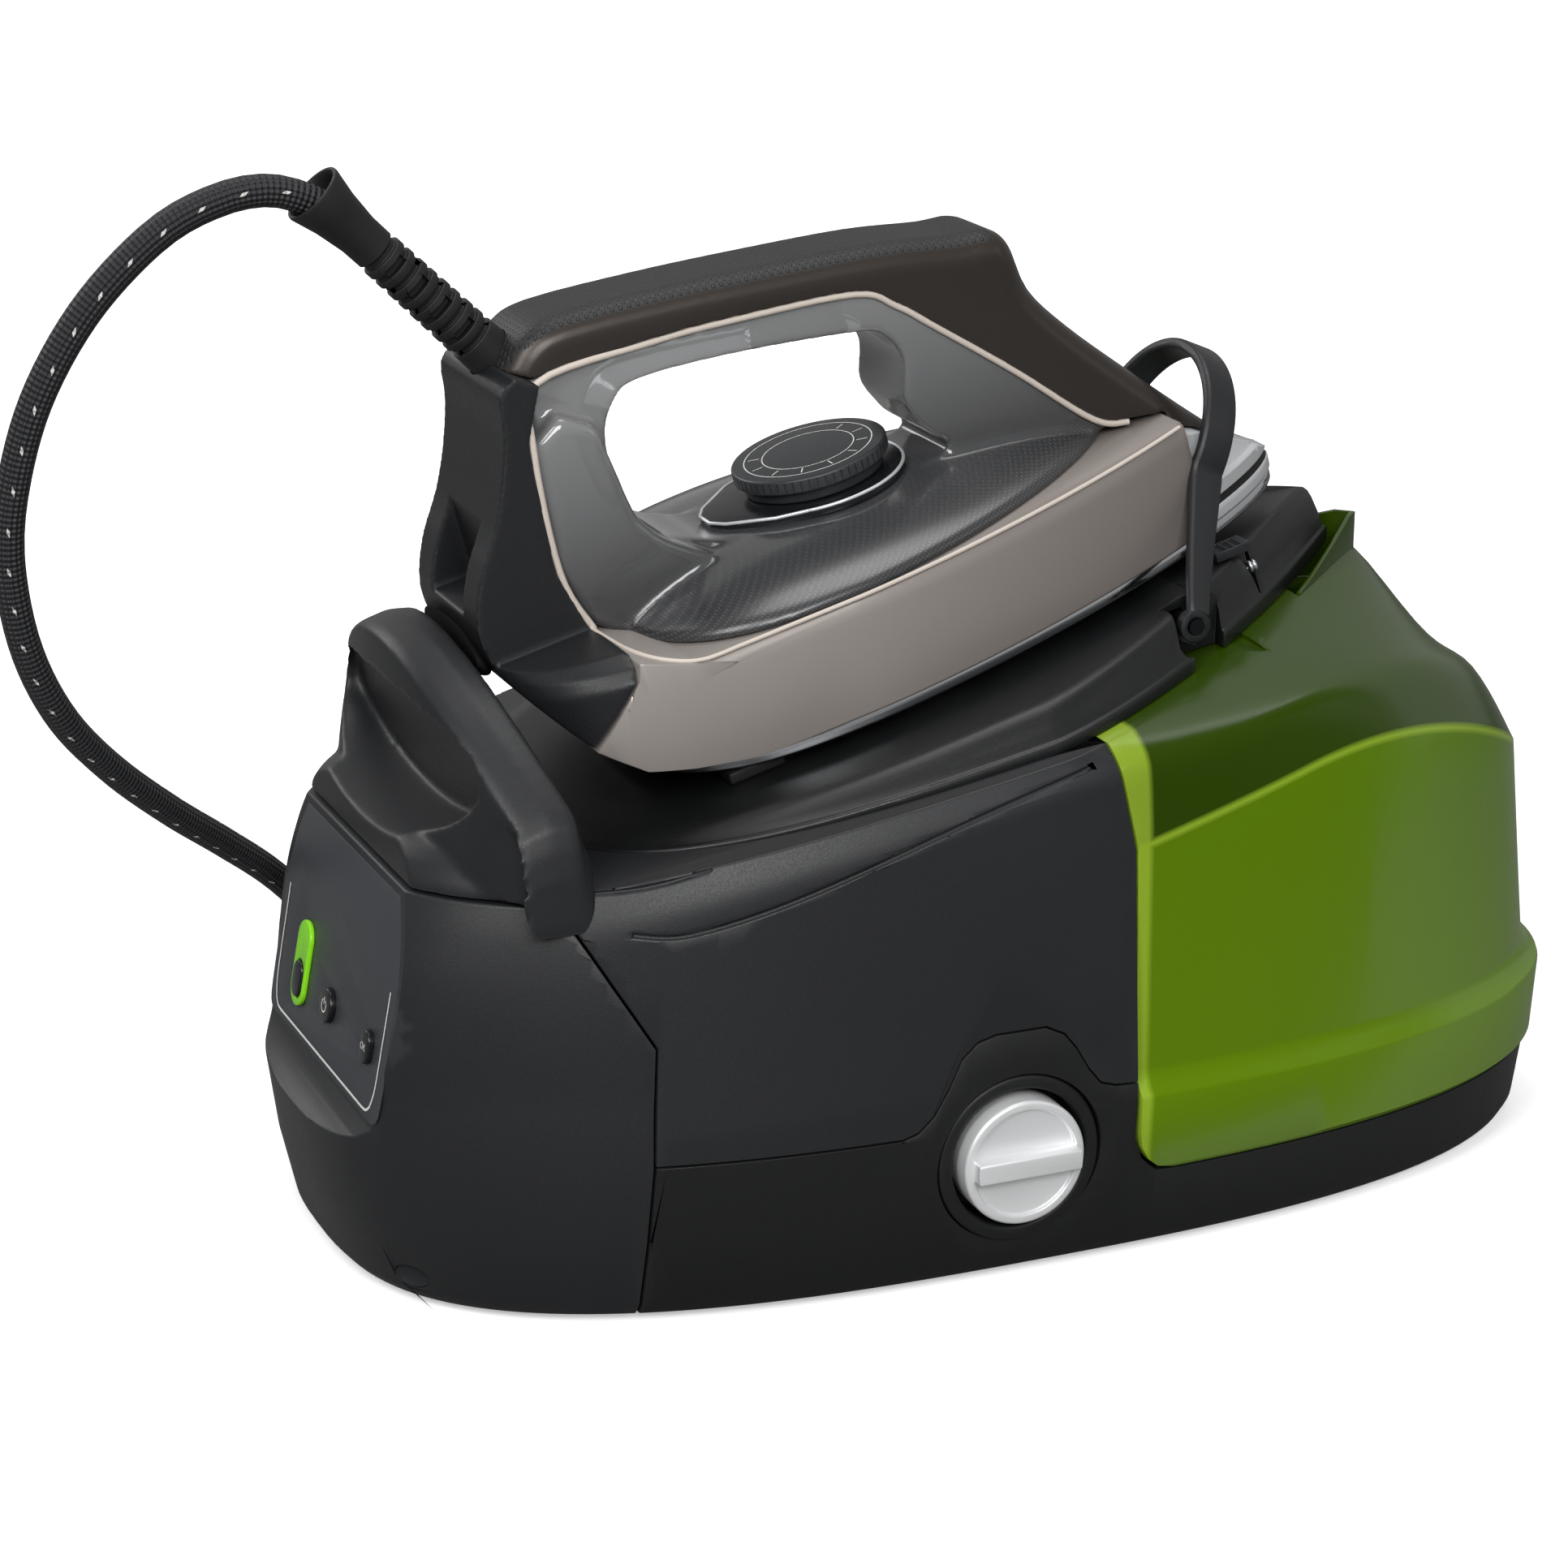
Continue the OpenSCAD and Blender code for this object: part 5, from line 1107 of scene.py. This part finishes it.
# Trim: a cream strip that follows the joint round both sides of the smoked body.
strips = []
for side in (-1, 1):
    line = [(x + 0.6 * (y > 20), side * y, z - 0.6) for x, z, y in smooth_line(
        [(x, z, 25.7 if i < 3 else (20.4 if i == 3 else 17.9))
            for i, (x, z) in enumerate(TRIM)], 6)]
    strips.append(lofted("strip", tube_rings(line, 1.1, 8)))
rim = [(x, abs(y), 40.2) for x, y in sole(2.35) if -50 < x < 78 and y > 0]
rim.sort(key=lambda p: p[0])
turn = smooth_line([(-117.2, 26, 48), (-115.6, 36, 46.6), (-113.6, 48, 45.6),
    (-108, 57.4, 43.4), (-98, 61.2, 40.4), (-84, 61.7, 40.2), (-68, 61.8, 40.2)], 6)
for side in (-1, 1):
    strips.append(lofted("strip", tube_rings([(x, side * y, z) for x, y, z in turn + rim],
        0.7, 8)))
pick(*strips)
bpy.ops.object.join()
strips[0].name = "handle_trim"
cream = moulded("cream trim plastic", "#bdb2a7", 0.35, grain=0.8, depth=0.00002, edge_highlight=0.1)
place(strips[0], IRON, cream, "iron", ["handle_trim"], "trim_plastic", 60)

# ---------------------------------------------------------------------------
# Heel: black grained cover on which the iron stands, with its pad, and the socket of the
# strain relief.
heel = prism(smooth_line([(-134.1, 24.4), (-141, 34), (-148, 46),
    (-150, 60), (-145, 74), (-137, 86), (-131, 98), (-126, 112), (-124, 123),
    (-118.4, 127)], 3) + [(-111.8, 122.4), (-119.8, 107), (-122.8, 68), (-117.8, 48),
    (-116, 47.4), (-118.3, 41)], 62)
region = block((-160, -27, 38), (-100, 27, 140))
boolean(region, lofted("tool", [[(x, y, z) for x, y in outline(50, 50, 62 - inset, 3, 2,
    0.5, xc=-100)] for z, inset in ((0, 0), (41, 0), (45, 3), (48, 9))]), "UNION")
boolean(heel, region, "INTERSECT")
boolean(heel, block((-170, -14, 62), (-136, 14, 142)))
melt(heel, 1.0, 5)
socket = bar((0, 0, -6), 7.8, 60, "Z")
socket.data.transform(((IRON.inverted() @ MM) @ BOOT))
boolean(heel, socket)
heel_black = moulded("black grained heel", "#17181a", 0.42, grain=0.7, depth=0.0001)
place(heel, IRON, heel_black, "iron", ["heel_cover"], "black_plastic", 50)

bpy.ops.mesh.primitive_uv_sphere_add(segments=48, ring_count=24)
heel_pad = bpy.context.object
heel_pad.name = "heel_pad"
heel_pad.data.transform(Matrix.Translation((-152.6, 0, 52))
    @ Matrix.Rotation(math.radians(62), 4, "Y") @ Matrix.Diagonal((14.6, 23.6, 4.6, 1)))
boolean(heel_pad, block((-151.9, -40, 20), (-92, 40, 100)), "INTERSECT")
place(heel_pad, IRON, rubber, "iron", ["heel_pad"], "rubber", 50)

# Strain relief of the hose: a ribbed elastomer boot, slotted so that it bends, with an
# open bell at its end.
profile = [(0.1, -5.8), (7.5, -5.8), (7.5, 4)]
for i in range(9):
    z = 5 + 4.6 * i
    r = 7.4 - 0.08 * i
    profile += [(r, z), (r, z + 2.7), (r - 1.2, z + 2.9), (r - 1.2, z + 4.4)]
profile += [(6.4, 47), (6.5, 54), (7.7, 63), (9.5, 71), (9.4, 72), (8.3, 72), (7.7, 70),
    (6.3, 60), (5.4, 52), (5.2, 46.5), (0.1, 46)]
boot = lofted("hose_boot", [[(r * math.cos(t), r * math.sin(t), z)
    for t in (2 * math.pi * j / 48 for j in range(48))] for r, z in profile])
for i in range(8):
    z = 8 + 4.6 * i
    for side in (0, 1):
        turn = Matrix.Rotation(math.pi * side + (math.pi / 2) * (i % 2), 4, "Z")
        cut = block((3.6, -3.4, z - 0.4), (9, 3.4, z + 2.2))
        cut.data.transform(turn)
        boolean(boot, cut)
soften(boot, 0.2, 1, 50)
place(boot, MM @ BOOT, rubber, "iron", ["hose_boot"], "rubber", 40)

# ---------------------------------------------------------------------------
# Temperature dial: gloss black seat with a silver outline, and over it a satin knob with
# a bevelled rim, printed circles and ticks.
teardrop = [(-30 + 27.4 * math.cos(t), 27.4 * math.sin(t))
    for t in (math.radians(-118 + 236 * i / 60) for i in range(61))]
teardrop += [(-52, 20), (-64, 9.5), (-67, 4), (-67, -4), (-64, -9.5), (-52, -20)]
seat = slab("dial_seat", teardrop, 53.4, 56.3)
boolean(seat, bar((-30, 0, 50), 3.4, 20, "Z"))
soften(seat, 0.5, 2)
place(seat, IRON, key_black, "iron", ["dial_seat"], "black_plastic")
outline_wire = lofted("dial_outline", tube_rings(
    [(x, y, 56.1) for x, y in teardrop + teardrop[:2]], 0.55, 8))
place(outline_wire, IRON, nose_silver, "iron", [], "silver_plastic", 60)

dial = bar((-30, 0, 56.6), 21.5, 4.2, "Z", 96)
boolean(dial, bar((-30, 0, 60.4), 24, 4.6, "Z", 96), "UNION")
boolean(dial, bar((-30, 0, 38.2), 3, 19, "Z", 32), "UNION")
soften(dial, 0.9, 4)
for i in range(60):
    t = 2 * math.pi * i / 60
    notch = block((23.7, -0.25, 60.8), (25, 0.3, 64.2))
    notch.data.transform(Matrix.Translation((-30, 0, 0)) @ Matrix.Rotation(t, 4, "Z"))
    boolean(dial, notch)
dial.name = "temperature_dial"
dial_grey = moulded("satin dark grey dial", "#2a2c2e", 0.34, grain=0.8, depth=0.00003)
place(dial, IRON, dial_grey, "dial", ["temperature_dial"], "black_plastic")
marks = bpy.data.meshes.new("dial_marks")
points, faces = [], []
for radius, width in ((19.8, 0.18), (14.2, 0.18)):
    base = len(points)
    points += [(-30 + (radius + s * width) * math.cos(t), (radius + s * width) * math.sin(t),
        65.04) for t in (2 * math.pi * i / 72 for i in range(73)) for s in (-1, 1)]
    faces += [(base + 2 * i, base + 2 * i + 1, base + 2 * i + 3, base + 2 * i + 2)
        for i in range(72)]
for i in range(9):
    t = math.radians(150 + 30 * i)
    base = len(points)
    c, s = math.cos(t), math.sin(t)
    points += [(-30 + r * c - w * s, r * s + w * c, 65.04)
        for r, w in ((15.2, -0.2), (18.6, -0.2), (18.6, 0.2), (15.2, 0.2))]
    faces.append((base, base + 1, base + 2, base + 3))
marks.from_pydata(points, [], faces)
marks_print = bpy.data.objects.new("dial_marks", marks)
scene.collection.objects.link(marks_print)
place(marks_print, IRON, ink, "dial", [], "white_plastic")

# Steam trigger: a smooth tongue under the front of the grip.
trigger = prism([(-39, 107), (-36, 102.6), (-20, 99), (-13, 98), (-12, 104), (-14, 108),
    (-36, 109.5)], 5.4)
soften(trigger, 1.2, 4)
boolean(trigger, bar((-16, -10, 104.6), 1.7, 20, "Y", 24))
trigger.name = "steam_trigger"
place(trigger, IRON, key_black, "trigger", ["steam_trigger"], "button_plastic")

# ---------------------------------------------------------------------------
# Parts behind the shells keep the shape they were built with, and get their own finish:
# pressed steel, cast aluminium, brass, silicone, circuit board.
def worn_metal(name, code, roughness, scale=60.0):
    made, tree, shader = finish_of(name, code, roughness, 1.0)
    where = node(tree, "ShaderNodeTexCoord")
    cloud = node(tree, "ShaderNodeTexNoise", {"Vector": where.outputs["Object"],
        "Scale": scale, "Detail": 5.0})
    rough = node(tree, "ShaderNodeMapRange", {0: cloud.outputs[0], 3: roughness - 0.1,
        4: roughness + 0.16})
    tree.links.new(rough.outputs[0], shader.inputs["Roughness"])
    bump = node(tree, "ShaderNodeBump", {"Strength": 0.2, "Distance": 0.0001,
        "Height": cloud.outputs[0]})
    tree.links.new(bump.outputs[0], shader.inputs["Normal"])
    return made


dark_steel = worn_metal("blackened steel", "#2a2b2d", 0.4)
brushed = worn_metal("brushed stainless steel", "#b9bbbe", 0.32)
cast = worn_metal("cast aluminium", "#a6a8aa", 0.5, 300.0)
yellow = worn_metal("brass", "#b89a55", 0.3)
board = moulded("green circuit board", "#1d5a34", 0.4, grain=2.5)
red = moulded("red silicone", "#7a2e1d", 0.5, grain=1.0)
white = moulded("white acetal", "#d9d9d6", 0.4, grain=1.0, edge_highlight=0.1)
FINISH = {"boiler": brushed, "boiler_stand": brushed, "heating_element": brushed,
    "safety_valve": yellow, "steam_valve": yellow, "pump": cast, "pump_mounts": rubber,
    "main_board": board, "panel_board": board, "water_pipe": red, "feed_pipe": red,
    "steam_pipe": brushed, "tank_dock": tray_black, "tank_valve": white,
    "calc_collector": brushed, "calc_seal": red, "hoop_pins": dark_steel,
    "latch_spring": brushed, "case_screws": brushed, "steam_chamber": cast,
    "thermostat": yellow, "trigger_switch": tray_black, "hose_gland": rubber,
    "power_inlet": tray_black}
for name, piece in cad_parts.items():
    if not piece.hide_render:
        piece.data.materials.clear()
        piece.data.materials.append(FINISH.get(name, tray_black))
        if name not in FINISH:
            print("NO FINISH", name)
